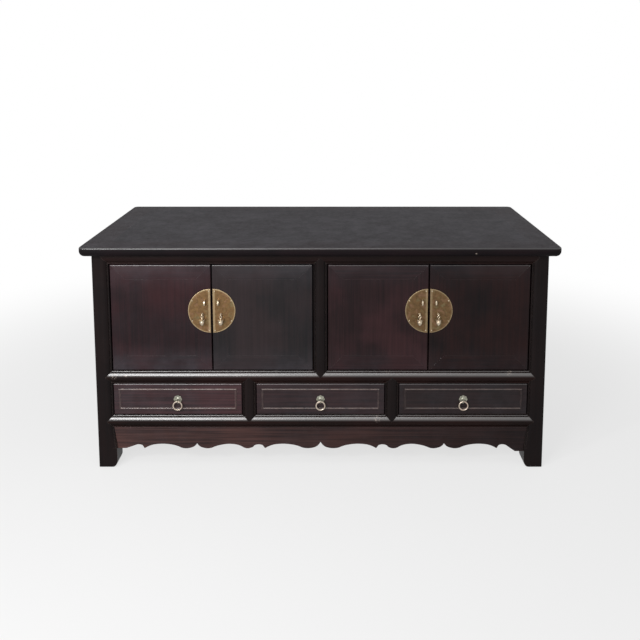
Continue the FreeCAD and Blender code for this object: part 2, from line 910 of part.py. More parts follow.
def door_frame(name, way):
    """Four mitred members round the panel. The hinge stile carries the two pivots. The door's own
    origin is the hinge edge of its face, at its foot, and way is the way to its free edge."""
    width = door_width
    height = door_height
    member = size["door_frame_width"]
    tongue = size["tongue_length"]
    arris = size["front_arris"]
    thickness = size["door_thickness"]
    outlines = {
        "hinge_stile": [(zero, zero), (member, member), (member, height - member), (zero, height)],
        "free_stile": [
            (width, zero),
            (width, height),
            (width - member, height - member),
            (width - member, member),
        ],
        "head": [
            (zero, height),
            (member, height - member),
            (width - member, height - member),
            (width, height),
        ],
        "sill": [(zero, zero), (width, zero), (width - member, member), (member, member)],
    }
    edges = {
        "hinge_stile": ("XY_Plane", zero, zero, way, 1),
        "free_stile": ("XY_Plane", width * way, zero, -way, 1),
        "head": ("YZ_Plane", zero, height, 1, -1),
        "sill": ("YZ_Plane", zero, zero, 1, 1),
    }
    members = []
    for part, corners in outlines.items():
        body = new_body(f"{name}_{part}")
        front = new_sketch(body, "XZ_Plane")
        draw_outline(front, [(across * way, up) for across, up in corners])
        pad(body, front, thickness)
        plane, across, up, inward_across, inward_up = edges[part]
        arris_sketch = new_sketch(body, plane)
        draw_rounding(arris_sketch, across, up, arris, inward_across, inward_up)
        run = height if plane == "XY_Plane" else width
        pocket(body, arris_sketch, run, toward=1 if plane == "XY_Plane" else way)
        groove = new_sketch(body, "XZ_Plane", size["tongue_setback"])
        draw_rectangle(
            groove,
            (member - tongue) * way,
            (width - member + tongue) * way,
            member - tongue,
            height - member + tongue,
        )
        pocket(body, groove, size["tongue_thickness"])
        if part == "hinge_stile":
            pivot = size["pivot_setback"]
            reach = size["door_gap"] + size["pivot_length"]
            for level, toward in ((zero, -1), (height, 1)):
                peg = new_sketch(body, "XY_Plane", level)
                draw_circle(peg, pivot * way, pivot, size["pivot_radius"])
                pad(body, peg, reach, toward=toward)
        members.append(body)
    return members


def door_panel(name, way):
    """The flush panel, tongued into the frame."""
    body = new_body(name)
    fit = size["panel_clearance"]
    member = size["door_frame_width"]
    tongue = size["tongue_length"]
    field = new_sketch(body, "XZ_Plane")
    near = member + fit
    draw_rectangle(field, near * way, (door_width - near) * way, near, door_height - near)
    pad(body, field, size["door_panel_thickness"])
    near = member - tongue + fit
    edge = new_sketch(body, "XZ_Plane", size["tongue_setback"])
    draw_rectangle(edge, near * way, (door_width - near) * way, near, door_height - near)
    pad(body, edge, size["tongue_thickness"])
    return body


def door_plate(name, way):
    """The half disc of brass at the door's free edge, with a bevelled rim."""
    body = new_body(name)
    radius = size["plate_radius"]
    middle = size["plate_height"]
    edge = door_width - size["plate_inset"]
    swell = radius * quarter_share * -way
    disc = new_sketch(body, "XZ_Plane")
    draw_outline(
        disc,
        [
            (edge * way, middle - radius, swell),
            ((edge - radius) * way, middle, swell),
            (edge * way, middle + radius),
        ],
    )
    sheet_metal = pad(body, disc, size["plate_thickness"], toward=-1)
    document.recompute()
    bevel = body.newObject("PartDesign::Chamfer", "Bevel")
    bevel.Base = (sheet_metal, [flat_face(sheet_metal, 1, -size["plate_thickness"].value)])
    bevel.Size = size["plate_bevel"].value
    bevel.setExpression("Size", size["plate_bevel"].formula)
    return body


def cotter(label, across, up, face, drop, ring, wire, reach, shank, washer_radius, washer_thickness):
    """A wire eye that stands out from a face on its shank, with a washer behind it."""
    eye = primitive("Part::Torus", label + "_eye", Radius1=ring, Radius2=wire)
    place(eye, across, face - reach, up - drop, axis_along_x)
    shank_length = reach - ring
    stem = primitive("Part::Cylinder", label + "_shank", Radius=shank, Height=shank_length)
    place(stem, across, face, up - drop, axis_forward)
    washer = primitive("Part::Cylinder", label + "_washer", Radius=washer_radius, Height=washer_thickness)
    place(washer, across, face, up - drop, axis_forward)
    return fuse(label, [eye, stem, washer])


def door_fittings(name, way):
    """The nails that hold the plate, the pierced lug for a padlock, and the eye for the pendant."""
    face = -size["plate_thickness"]
    free_edge = door_width + size["door_meeting_gap"] / 2
    middle = size["plate_height"]
    lug = new_body(name + "_lock_eye")
    half_height = size["eye_height"] / 2
    nose = size["eye_reach"] - half_height
    side_view = new_sketch(lug, "YZ_Plane", (free_edge - size["eye_offset"]) * way)
    centre = middle + size["eye_rise"]
    swell = half_height * quarter_share
    draw_outline(
        side_view,
        [
            (face, centre + half_height),
            (face - nose, centre + half_height, swell),
            (face - nose - half_height, centre, swell),
            (face - nose, centre - half_height),
            (face, centre - half_height),
        ],
    )
    draw_circle(side_view, face - nose, centre, size["eye_hole_radius"])
    pad(lug, side_view, size["eye_thickness"], toward=0)
    hanger = cotter(
        name + "_cotter",
        (free_edge - size["pendant_offset"]) * way,
        middle,
        face,
        size["pendant_drop"],
        size["cotter_radius"],
        size["cotter_wire"],
        size["cotter_reach"],
        size["cotter_shank"],
        size["washer_radius"],
        size["washer_thickness"],
    )
    pieces = [lug, hanger]
    ring = size["plate_radius"] - size["nail_inset"]
    edge = door_width - size["plate_inset"] - size["nail_inset"]
    spread = ring - size["nail_inset"] / 4
    outer_across, outer_up = (ring * share for share in outer_nail_shares)
    spots = [(edge, spread), (edge - outer_across, outer_up)]
    spots += [(across, -up) for across, up in spots]
    for number, (across, up) in enumerate(spots, start=1):
        nail = primitive(
            "Part::Cone",
            f"{name}_nail_{number}",
            Radius1=size["nail_radius"],
            Radius2=size["nail_radius"] / 2,
            Height=size["nail_rise"],
        )
        pieces.append(place(nail, across * way, face, middle + up, axis_forward))
    return pieces


def pendant(name):
    """A turned brass drop with a wire eye, from the top of its eye, where it swings."""
    body = new_body(name + "_drop")
    ring = size["pendant_eye_radius"]
    wire = size["pendant_wire"]
    neck_top = ring * 2
    collar_top = neck_top + size["pendant_neck_length"]
    collar_foot = collar_top + size["pendant_collar_height"]
    neck = size["pendant_neck_radius"]
    collar = size["pendant_collar_radius"]
    belly = size["pendant_body_radius"]
    length = size["pendant_body_length"]
    rim = size["pendant_collar_height"] / 4
    profile = new_sketch(body, "XZ_Plane")
    corners = [
        (zero, -neck_top),
        (neck, -neck_top),
        (neck, -collar_top),
        (collar, -collar_top - rim),
        (collar, -collar_foot + rim),
    ]
    for across, down, swell in pendant_profile_shares:
        corners.append((belly * across, -collar_foot - length * down, -length * swell))
    corners.append((zero, -collar_foot - length))
    draw_outline(profile, corners)
    turned = body.newObject("PartDesign::Revolution", "Turned")
    turned.Profile = profile
    turned.ReferenceAxis = (profile, ["V_Axis"])
    turned.Angle = 360
    eye = primitive("Part::Torus", name + "_eye", Radius1=ring, Radius2=wire)
    place(eye, zero, zero, -ring, axis_forward)
    return fuse(name, [body, eye])


# Drawers

drawer_width = drawer_opening_width - size["drawer_gap"] * 2
drawer_height = size["drawer_opening_height"] - size["drawer_gap"] * 2
box_half_width = drawer_width / 2 - size["drawer_side_clearance"]
box_back = body_half_depth * 2 - size["rail_depth"] - size["door_recess"] - size["drawer_back_gap"]


def drawer_front(name):
    """A rounded front with a raised bead round it. The drawer's own origin is the middle of its
    face, at its foot."""
    body = new_body(name)
    half_width = drawer_width / 2
    face = new_sketch(body, "XZ_Plane")
    draw_rectangle(face, -half_width, half_width, zero, drawer_height)
    pad(body, face, size["drawer_front_thickness"])
    arris = size["front_arris"]
    upright = new_sketch(body, "XY_Plane")
    for side in (-1, 1):
        draw_rounding(upright, half_width * side, zero, arris, -side, 1)
    pocket(body, upright, drawer_height)
    level = new_sketch(body, "YZ_Plane")
    draw_rounding(level, zero, zero, arris, 1, 1)
    draw_rounding(level, zero, drawer_height, arris, 1, -1)
    pocket(body, level, drawer_width, toward=0)
    groove = new_sketch(body, "XZ_Plane", size["drawer_front_thickness"])
    slot = box_half_width - size["drawer_side_thickness"] + size["drawer_groove_depth"]
    lift = size["drawer_bottom_lift"]
    draw_rectangle(groove, -slot, slot, lift, lift + size["drawer_bottom_thickness"])
    pocket(body, groove, size["drawer_groove_depth"], toward=-1)
    bead = new_sketch(body, "XZ_Plane")
    for inset in (size["drawer_bead_inset"], size["drawer_bead_inset"] + size["drawer_bead_width"]):
        draw_rectangle(bead, -half_width + inset, half_width - inset, inset, drawer_height - inset)
    raised = pad(body, bead, size["drawer_bead_rise"], toward=-1)
    document.recompute()
    rounding = body.newObject("PartDesign::Fillet", "Rounding")
    rounding.Base = (raised, [flat_face(raised, 1, -size["drawer_bead_rise"].value)])
    rounding.Radius = size["drawer_bead_round"].value
    rounding.setExpression("Radius", size["drawer_bead_round"].formula)
    return body


def drawer_box(name):
    """Two grooved sides and the back between them."""
    pieces = []
    front = size["drawer_front_thickness"]
    thickness = size["drawer_side_thickness"]
    height = size["drawer_side_height"]
    lift = size["drawer_bottom_lift"]
    groove_top = lift + size["drawer_bottom_thickness"]
    outer = box_half_width
    inner = outer - thickness
    groove = inner + size["drawer_groove_depth"]
    for side, word in ((-1, "left"), (1, "right")):
        body = new_body(f"{name}_{word}_side")
        section = new_sketch(body, "XZ_Plane", front)
        corners = [
            (outer, zero),
            (outer, height),
            (inner, height),
            (inner, groove_top),
            (groove, groove_top),
            (groove, lift),
            (inner, lift),
            (inner, zero),
        ]
        draw_outline(section, [(across * side, up) for across, up in corners])
        pad(body, section, box_back - front)
        pieces.append(body)
    pieces.append(board(name + "_back", -inner, inner, box_back - thickness, box_back, groove_top, height))
    return pieces


def drawer_bottom(name):
    """The thin board that slides into the grooves."""
    fit = size["panel_clearance"]
    half = box_half_width - size["drawer_side_thickness"] + size["drawer_groove_depth"] - fit
    lift = size["drawer_bottom_lift"]
    front = size["drawer_front_thickness"] - size["drawer_groove_depth"] + fit
    return board(name, -half, half, front, box_back, lift, lift + size["drawer_bottom_thickness"])


def rosette(name):
    """A petalled brass backplate with a domed middle, and the eye for the ring."""
    body = new_body(name + "_plate")
    centre = drawer_height / 2
    radius = size["rosette_radius"]
    lobe = size["rosette_lobe"]
    valley = radius - lobe
    swell = lobe * petal_swell_share
    petals = new_sketch(body, "XZ_Plane")
    corners = []
    for number in range(petal_count):
        angle = 2 * math.pi * (number + 0.5) / petal_count
        corners.append((valley * math.cos(angle), centre + valley * math.sin(angle), swell))
    draw_outline(petals, corners)
    pad(body, petals, size["rosette_thickness"], toward=-1)
    dome = new_sketch(body, "YZ_Plane")
    rim = size["rosette_dome_radius"]
    front = size["rosette_thickness"]
    crest = front + size["rosette_dome_rise"]
    draw_outline(
        dome,
        [
            (-front / 2, centre),
            (-front / 2, centre + rim),
            (-front, centre + rim),
            (-crest, centre + rim / 2),
            (-crest, centre),
        ],
    )
    turned = body.newObject("PartDesign::Revolution", "Dome")
    turned.Profile = dome
    turned.Angle = 360
    axis_line = new_sketch(body, "YZ_Plane")
    start = Vector(0, centre.value, 0)
    end = Vector(-crest.value, centre.value, 0)
    axis_line.addGeometry(Part.LineSegment(start, end))
    axis_line.addConstraint(
        [
            Sketcher.Constraint("DistanceX", -1, 1, 0, 1, 0.0),
            Sketcher.Constraint("DistanceY", -1, 1, 0, 1, centre.value),
            Sketcher.Constraint("DistanceX", -1, 1, 0, 2, -crest.value),
            Sketcher.Constraint("DistanceY", -1, 1, 0, 2, centre.value),
        ]
    )
    bind(axis_line, 0, [(1, centre.formula), (2, (-crest).formula), (3, centre.formula)])
    turned.ReferenceAxis = (axis_line, ["Edge1"])
    eye = cotter(
        name + "_cotter",
        zero,
        centre,
        zero,
        size["pull_drop"],
        size["pull_cotter_radius"],
        size["pull_cotter_wire"],
        size["pull_cotter_reach"],
        size["pull_cotter_shank"],
        size["pull_cotter_shank"],
        size["rosette_thickness"],
    )
    return fuse(name, [body, eye])


def pull_ring(name):
    """The ring that hangs in the rosette's eye."""
    ring = primitive("Part::Torus", name, Radius1=size["ring_radius"], Radius2=size["ring_wire"])
    wires = size["pull_cotter_wire"] + size["ring_wire"] + size["ring_clearance"]
    hang = size["pull_cotter_radius"] - wires
    centre = drawer_height / 2 - size["pull_drop"] - hang - size["ring_radius"]
    return ring, -size["pull_cotter_reach"], centre


def carried(name, pieces, across, back, up):
    """Groups pieces that are told in a door's or drawer's own place, and puts them in the cabinet."""
    item = group(name, pieces) if len(pieces) > 1 else pieces[0]
    item.Label = name
    return place(item, across, back, up)


def doors():
    """The four doors with their brass, each in its place."""
    nodes = []
    front = size["door_recess"] - body_half_depth
    foot = door_opening_foot + size["door_gap"]
    outer = front_half_span - size["door_gap"]
    inner = half_stile + size["door_gap"]
    plan = (
        ("far_left_door", -outer, 1),
        ("mid_left_door", -inner, -1),
        ("mid_right_door", inner, 1),
        ("far_right_door", outer, -1),
    )
    wires = size["cotter_wire"] + size["pendant_wire"] + size["link_clearance"]
    hang = size["cotter_radius"] - wires
    pendant_back = front - size["plate_thickness"] - size["cotter_reach"]
    pendant_up = foot + size["plate_height"] - size["pendant_drop"] - hang
    pendant_place = door_width + size["door_meeting_gap"] / 2 - size["pendant_offset"]
    for name, hinge, way in plan:
        nodes.append(carried(name + "_frame", door_frame(name, way), hinge, front, foot))
        nodes.append(carried(name + "_panel", [door_panel(name + "_panel", way)], hinge, front, foot))
        nodes.append(carried(name + "_plate", [door_plate(name + "_plate", way)], hinge, front, foot))
        nodes.append(carried(name + "_fittings", door_fittings(name, way), hinge, front, foot))
        drop = pendant(name + "_pendant")
        nodes.append(place(drop, hinge + pendant_place * way, pendant_back, pendant_up))
    return nodes


def drawers():
    """The three drawers with their pulls, each in its place."""
    nodes = []
    front = size["door_recess"] - body_half_depth
    foot = drawer_opening_foot + size["drawer_gap"]
    for name, number in (("left_drawer", -1), ("middle_drawer", 0), ("right_drawer", 1)):
        across = drawer_pitch * number
        nodes.append(carried(name + "_front", [drawer_front(name + "_front")], across, front, foot))
        nodes.append(carried(name + "_box", drawer_box(name), across, front, foot))
        nodes.append(carried(name + "_bottom", [drawer_bottom(name + "_bottom")], across, front, foot))
        nodes.append(carried(name + "_rosette", [rosette(name + "_rosette")], across, front, foot))
        ring, ring_back, ring_up = pull_ring(name + "_ring")
        nodes.append(place(ring, across, front + ring_back, foot + ring_up, axis_forward))
    return nodes


def side_frame(side, turn):
    """The three rails of one end of the cabinet."""
    rails = []
    face = body_half_width * (-1 if side == "left" else 1)
    for word, (foot, height, beaded_head) in zip(("low", "mid", "top"), rail_joints):
        rail = framing_member(f"{side}_side_{word}_rail", side_half_span, height, beaded_head)
        rails.append(place(rail, face, zero, foot, turn))
    return group(f"{side}_side_rails", rails)


def side_panels(side, sign):
    """The two panels of one end, each between two rails and the posts."""
    outer = body_half_width - size["side_panel_recess"]
    inner = outer - size["side_panel_thickness"]
    panels = []
    for word, low, high in (
        ("lower", drawer_opening_foot, mid_rail_foot),
        ("upper", door_opening_foot, top_rail_foot),
    ):
        label = f"{side}_side_{word}_panel"
        span = side_half_span
        panels.append(board(label, inner * sign, outer * sign, -span, span, low, high))
    return group(f"{side}_side_panels", panels)


def back_frame():
    """The rails and the stile of the back."""
    pieces = []
    spots = {"low": (), "mid": ((zero, 1),), "top": ((zero, 0),)}
    for word, (foot, height, beaded_head) in zip(("low", "mid", "top"), rail_joints):
        rail = framing_member(f"back_{word}_rail", front_half_span, height, beaded_head, spots[word])
        pieces.append(place(rail, zero, body_half_depth, foot, turn_back))
    upright = stile("back_stile", zero, body_half_depth, door_opening_foot, door_opening_height, True)
    return group("back_frame", pieces + [upright])


def back_panels():
    """The three panels of the back."""
    outer = body_half_depth - size["side_panel_recess"]
    inner = outer - size["side_panel_thickness"]
    span = front_half_span
    pieces = [board("back_lower_panel", -span, span, inner, outer, drawer_opening_foot, mid_rail_foot)]
    for word, left, right in (("left", -span, -half_stile), ("right", half_stile, span)):
        label = f"back_upper_{word}_panel"
        pieces.append(board(label, left, right, inner, outer, door_opening_foot, top_rail_foot))
    return group("back_panels", pieces)


def drawer_runners():
    """Runners that carry the drawers' sides, with guides between the drawers and at the ends."""
    top = drawer_opening_foot + size["drawer_gap"] - size["stop_gap"]
    foot = top - size["runner_thickness"]
    guide_top = top + size["guide_height"]
    clear = size["guide_clearance"]
    shelf = size["drawer_side_thickness"] + size["runner_width"] / 2
    pieces = []
    for word, side in (("left", -1), ("right", 1)):
        inner_drawer = box_half_width
        outer_drawer = drawer_pitch - box_half_width
        body = new_body(f"{word}_middle_runner")
        section = new_sketch(body, "XZ_Plane")
        corners = [
            (inner_drawer - shelf, foot),
            (outer_drawer + shelf, foot),
            (outer_drawer + shelf, top),
            (outer_drawer - clear, top),
            (outer_drawer - clear, guide_top),
            (inner_drawer + clear, guide_top),
            (inner_drawer + clear, top),
            (inner_drawer - shelf, top),
        ]
        draw_outline(section, [(across * side, up) for across, up in corners])
        pad(body, section, inner_half_depth * 2, toward=0)
        pieces.append(body)
        end_drawer = drawer_pitch + box_half_width
        body = new_body(f"{word}_end_runner")
        section = new_sketch(body, "XZ_Plane")
        corners = [
            (end_drawer - shelf, foot),
            (inner_half_width, foot),
            (inner_half_width, guide_top),
            (end_drawer + clear, guide_top),
            (end_drawer + clear, top),
            (end_drawer - shelf, top),
        ]
        draw_outline(section, [(across * side, up) for across, up in corners])
        pad(body, section, side_half_span * 2, toward=0)
        pieces.append(body)
    return group("drawer_runners", pieces)


def front_top_rail():
    """The rail over the doors. The lips that the doors close against stop short of the pivots by a
    door's thickness, which the turning stiles' corners never swing past."""
    sockets = []
    for side in (-1, 1):
        sockets.append(((front_half_span - pivot_place) * side, 0))
        sockets.append(((half_stile + pivot_place) * side, 0))
    rail = framing_member(
        "front_top_rail", front_half_span, size["top_rail_height"], False, ((zero, 0),), sockets
    )
    lip_front = size["door_recess"] + size["door_thickness"] + size["stop_gap"]
    lip = new_sketch(rail, "XZ_Plane", lip_front)
    clear = pivot_place + size["door_thickness"]
    for side in (-1, 1):
        near = (half_stile + clear) * side
        far = (front_half_span - clear) * side
        draw_rectangle(lip, near, far, -size["stop_lip_height"], zero)
    pad(rail, lip, size["rail_depth"] - lip_front)
    return place(rail, zero, -body_half_depth, top_rail_foot)


def front_mid_rail():
    """The rail between the doors and the drawers."""
    sockets = []
    for side in (-1, 1):
        sockets.append(((front_half_span - pivot_place) * side, 1))
        sockets.append(((half_stile + pivot_place) * side, 1))
    stiles = ((zero, 1), (-drawer_stile_place, 0), (drawer_stile_place, 0))
    rail = framing_member(
        "front_mid_rail", front_half_span, size["rail_height"], True, stiles, sockets
    )
    return place(rail, zero, -body_half_depth, mid_rail_foot)


def front_low_rail():
    """The rail under the drawers."""
    stiles = ((-drawer_stile_place, 1), (drawer_stile_place, 1))
    rail = framing_member("front_low_rail", front_half_span, size["rail_height"], True, stiles)
    return place(rail, zero, -body_half_depth, low_rail_foot)


def drawer_stiles():
    """The two short uprights between the drawers."""
    pieces = []
    for word, side in (("left", -1), ("right", 1)):
        pieces.append(
            stile(
                f"{word}_drawer_stile",
                drawer_stile_place * side,
                -body_half_depth,
                drawer_opening_foot,
                size["drawer_opening_height"],
            )
        )
    return group("drawer_stiles", pieces)


def side_aprons():
    """The aprons of the two ends."""
    pieces = []
    for word, sign, turn in (("left", -1, turn_left), ("right", 1, turn_right)):
        label = f"{word}_side_apron"
        item = apron(label, side_half_span, side_scallop_shares, left_end_share, left_end_share)
        pieces.append(place(item, body_half_width * sign, zero, low_rail_foot, turn))
    return group("side_aprons", pieces)


def carcase():
    """Everything that stands still."""
    nodes = table_top()
    nodes.append(post("post_front_left", 1, 1))
    nodes.append(post("post_front_right", -1, 1))
    nodes.append(post("post_back_left", 1, -1))
    nodes.append(post("post_back_right", -1, -1))
    nodes += [front_top_rail(), front_mid_rail(), front_low_rail()]
    nodes.append(stile("centre_stile", zero, -body_half_depth, door_opening_foot, door_opening_height))
    nodes.append(drawer_stiles())
    nodes += [side_frame("left", turn_left), side_frame("right", turn_right)]
    nodes += [side_panels("left", -1), side_panels("right", 1)]
    nodes += [back_frame(), back_panels(), cabinet_floor()]
    half = size["partition_thickness"] / 2
    inner = inner_half_depth
    nodes.append(board("centre_partition", -half, half, -inner, inner, door_opening_foot, body_top))
    nodes.append(drawer_runners())
    front_apron = apron(
        "front_apron", front_half_span, front_scallop_shares, left_end_share, right_end_share
    )
    nodes.append(place(front_apron, zero, -body_half_depth, low_rail_foot))
    nodes.append(side_aprons())
    return nodes


def check(nodes):
    """Stops if any object failed, any cut took nothing away or any sub-part isn't a sound solid."""
    faults = []
    for item in document.Objects:
        owner = item.getParentGeoFeatureGroup()
        name = f"{item.Label} of {owner.Label}" if owner else item.Label
        if {"Invalid", "Error"} & set(item.State):
            faults.append(f"{name} failed")
        elif item.TypeId == "PartDesign::Pocket":
            taken = item.BaseFeature.Shape.Volume - item.Shape.Volume
            if taken <= item.Shape.Volume * least_cut_share:
                faults.append(f"{name} cuts nothing")
    for item in nodes:
        if item.Shape.isNull() or not item.Shape.isValid() or not item.Shape.Solids:
            faults.append(f"{item.Label} has no sound shape")
    if faults:
        raise RuntimeError("; ".join(faults))


parts = carcase() + doors() + drawers()
document.recompute()
check(parts)
os.makedirs("parts", exist_ok=True)
for part in parts:
    part.Shape.exportStep(f"parts/{part.Label}.step")
print(f"{len(parts)} parts, {sum(len(part.Shape.Solids) for part in parts)} solids")
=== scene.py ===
"""Finishes for a low lacquered console cabinet: the wood with its edges eased by hand, the aged
brass, and the studio that it stands in. Lengths are in metres unless a name says otherwise."""

import math

import bmesh
import bpy
import numpy as np
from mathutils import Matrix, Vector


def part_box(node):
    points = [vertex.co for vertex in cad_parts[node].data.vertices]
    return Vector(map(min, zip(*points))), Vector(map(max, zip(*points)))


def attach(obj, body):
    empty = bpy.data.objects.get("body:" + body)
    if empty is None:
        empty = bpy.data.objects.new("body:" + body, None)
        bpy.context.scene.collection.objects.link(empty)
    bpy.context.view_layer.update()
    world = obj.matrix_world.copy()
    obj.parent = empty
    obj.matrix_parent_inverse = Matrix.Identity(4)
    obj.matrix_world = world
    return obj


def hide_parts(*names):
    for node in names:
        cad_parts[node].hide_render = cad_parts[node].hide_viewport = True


bl_info = {
    "name": "Low Console Cabinet",
    "version": (1, 0, 0),
    "blender": (4, 5, 0),
    "location": "View3D > Sidebar > Cabinet",
    "description": "Dresses a low console cabinet in rubbed lacquer and aged brass",
    "category": "Object",
}

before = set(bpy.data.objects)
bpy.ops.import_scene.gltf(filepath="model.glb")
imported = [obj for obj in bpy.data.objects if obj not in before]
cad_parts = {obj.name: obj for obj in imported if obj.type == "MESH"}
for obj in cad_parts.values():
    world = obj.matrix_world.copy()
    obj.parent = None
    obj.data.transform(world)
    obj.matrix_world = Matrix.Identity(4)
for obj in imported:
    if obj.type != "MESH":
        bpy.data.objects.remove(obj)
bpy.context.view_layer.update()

MM = 0.001
DOORS = ("far_left_door", "mid_left_door", "mid_right_door", "far_right_door")
DRAWERS = ("left_drawer", "middle_drawer", "right_drawer")
EASED = {"interpolation_type": "SMOOTHSTEP"}

# How wide the sharp edges of a member are eased, from a planed joint to a drawer front's bead.
JOINT_EDGE = 0.1 * MM
DOOR_EDGE = 0.12 * MM
BOARD_EDGE = 0.3 * MM
RAIL_EDGE = 0.4 * MM
BEAD_EDGE = 0.8 * MM


class LacquerSettings(bpy.types.PropertyGroup):
    """Colours and wear of the lacquered wood."""

    eased_edge: bpy.props.FloatProperty(
        name="Eased edge",
        description="Width of the rounding that a plane and long handling leave on an edge",
        default=0.6 * MM,
        min=0.1 * MM,
        max=2 * MM,
        unit="LENGTH",
    )
    worn_reach: bpy.props.FloatProperty(
        name="Worn reach",
        description="How far from an edge the lacquer is rubbed thin",
        default=1.6 * MM,
        min=0.1 * MM,
        max=10 * MM,
        unit="LENGTH",
    )
    bloom: bpy.props.StringProperty(
        name="Wax bloom",
        description="Hex colour of the lacquer where old wax has clouded it",
        default="5a575d",
    )
    rubbed: bpy.props.StringProperty(
        name="Rubbed lacquer",
        description="Hex colour of the lacquer where handling has thinned it on an edge",
        default="76625a",
    )
    bare_wood: bpy.props.StringProperty(
        name="Bare wood",
        description="Hex colour of the wood where the lacquer has chipped away",
        default="8f837a",
    )


class BrassSettings(bpy.types.PropertyGroup):
    """Colours and dents of the brass."""

    sheet: bpy.props.StringProperty(
        name="Brass sheet",
        description="Hex colour of the aged sheet on the doors",
        default="785c3b",
    )
    # Painted shade: a darker, browner copy of the sheet for the right pair, which the light reaches less.
    shaded_sheet: bpy.props.StringProperty(
        name="Browner sheet",
        description="Hex colour of the aged sheet on the right pair of doors",
        default="6a5236",
    )
    bright: bpy.props.StringProperty(
        name="Bright brass",
        description="Hex colour of the sheet's rim and lip, which are rubbed bright",
        default="cdb994",
    )
    worn: bpy.props.StringProperty(
        name="Worn brass",
        description="Hex colour of the fittings that fingers keep bright",
        default="dccdb4",
    )
    pale: bpy.props.StringProperty(
        name="Pale brass",
        description="Hex colour of the pull rings",
        default="c8b9ab",
    )
    dent_depth: bpy.props.FloatProperty(
        name="Dent depth",
        description="Depth of the hammer's dents in the sheet",
        default=0.25 * MM,
        min=0,
        max=1 * MM,
        unit="LENGTH",
    )


class StageSettings(bpy.types.PropertyGroup):
    """Camera, light and floor."""

    lens: bpy.props.FloatProperty(
        name="Lens",
        description="Focal length in millimetres on a 36 mm sensor",
        default=42.85,
    )
    camera_place: bpy.props.FloatVectorProperty(
        name="Camera place",
        description="Where the camera stands, in front of the cabinet and above it",
        default=(0.033, -2.463, 1.207),
        subtype="TRANSLATION",
        unit="LENGTH",
    )
    camera_pitch: bpy.props.FloatProperty(
        name="Camera pitch",
        description="How far the camera looks down",
        default=math.radians(7.11),
        subtype="ANGLE",
    )
    camera_shift: bpy.props.FloatVectorProperty(
        name="Camera shift",
        description="How far the picture is shifted across and up, in widths of itself",
        default=(-0.018, -0.25),
        size=2,
    )
    key_strength: bpy.props.FloatProperty(
        name="Key strength",
        description="Power of the large soft lamp in front, on the left",
        default=32,
        unit="POWER",
    )
    side_strength: bpy.props.FloatProperty(
        name="Side strength",
        description="Power of the smaller lamp on the left, which draws the shadows of the fittings",
        default=20,
        unit="POWER",
    )
    front_strength: bpy.props.FloatProperty(
        name="Front strength",
        description="Power of the smaller soft lamp above the camera",
        default=5,
        unit="POWER",
    )
    top_strength: bpy.props.FloatProperty(
        name="Top strength",
        description="Power of the wide soft lamp overhead",
        default=12,
        unit="POWER",
    )
    sky: bpy.props.FloatProperty(
        name="Surroundings",
        description="Strength of the even light from all round",
        default=0.4,
    )


def settings():
    """The three groups of settings, as the scene holds them."""
    scene = bpy.context.scene
    return scene.cabinet_lacquer, scene.cabinet_brass, scene.cabinet_stage


def hex_colour(code):
    """Linear colour of an sRGB hex code."""
    parts = np.array([int(code[place : place + 2], 16) / 255 for place in (0, 2, 4)])
    straight = np.where(parts <= 0.04045, parts / 12.92, ((parts + 0.055) / 1.055) ** 2.4)
    return (*straight.tolist(), 1.0)


def add(tree, kind, inputs=(), out=0, **properties):
    """Adds a shader node with its settings, fills its sockets with values or links, and returns one
    of its outputs. The inputs are named, or come in the order in which the node has them."""
    node = tree.nodes.new("ShaderNode" + kind)
    for name, value in properties.items():
        setattr(node, name, value)
    for name, value in (inputs if isinstance(inputs, dict) else dict(enumerate(inputs))).items():
        if isinstance(value, bpy.types.NodeSocket):
            tree.links.new(value, node.inputs[name])
        else:
            node.inputs[name].default_value = value
    return node.outputs[out] if node.outputs else None


def new_material(name):
    """An empty node material, its node tree, and the place on the piece that its patterns read."""
    material = bpy.data.materials.new(name)
    material.use_nodes = True
    tree = material.node_tree
    tree.nodes.clear()
    return material, tree, add(tree, "TexCoord", out="Object")


def grain_places(tree, place, width, length):
    """Place on the board, drawn out along its grain: one step of the result is width across the
    grain and length along it. Each board has its own figure, from its own shift."""
    shift = add(tree, "Attribute", out="Vector", attribute_name="board_shift")
    grain = add(tree, "Attribute", out="Vector", attribute_name="board_grain")
    place = add(tree, "VectorMath", (place, shift), operation="ADD")
    along = add(tree, "VectorMath", (place, grain), "Value", operation="DOT_PRODUCT")
    longer = add(tree, "VectorMath", {0: grain, "Scale": along}, operation="SCALE")
    across = add(tree, "VectorMath", (place, longer), operation="SUBTRACT")
    across = add(tree, "VectorMath", {0: across, "Scale": 1 / width}, operation="SCALE")
    longer = add(tree, "VectorMath", {0: longer, "Scale": 1 / length}, operation="SCALE")
    return add(tree, "VectorMath", (across, longer), operation="ADD")


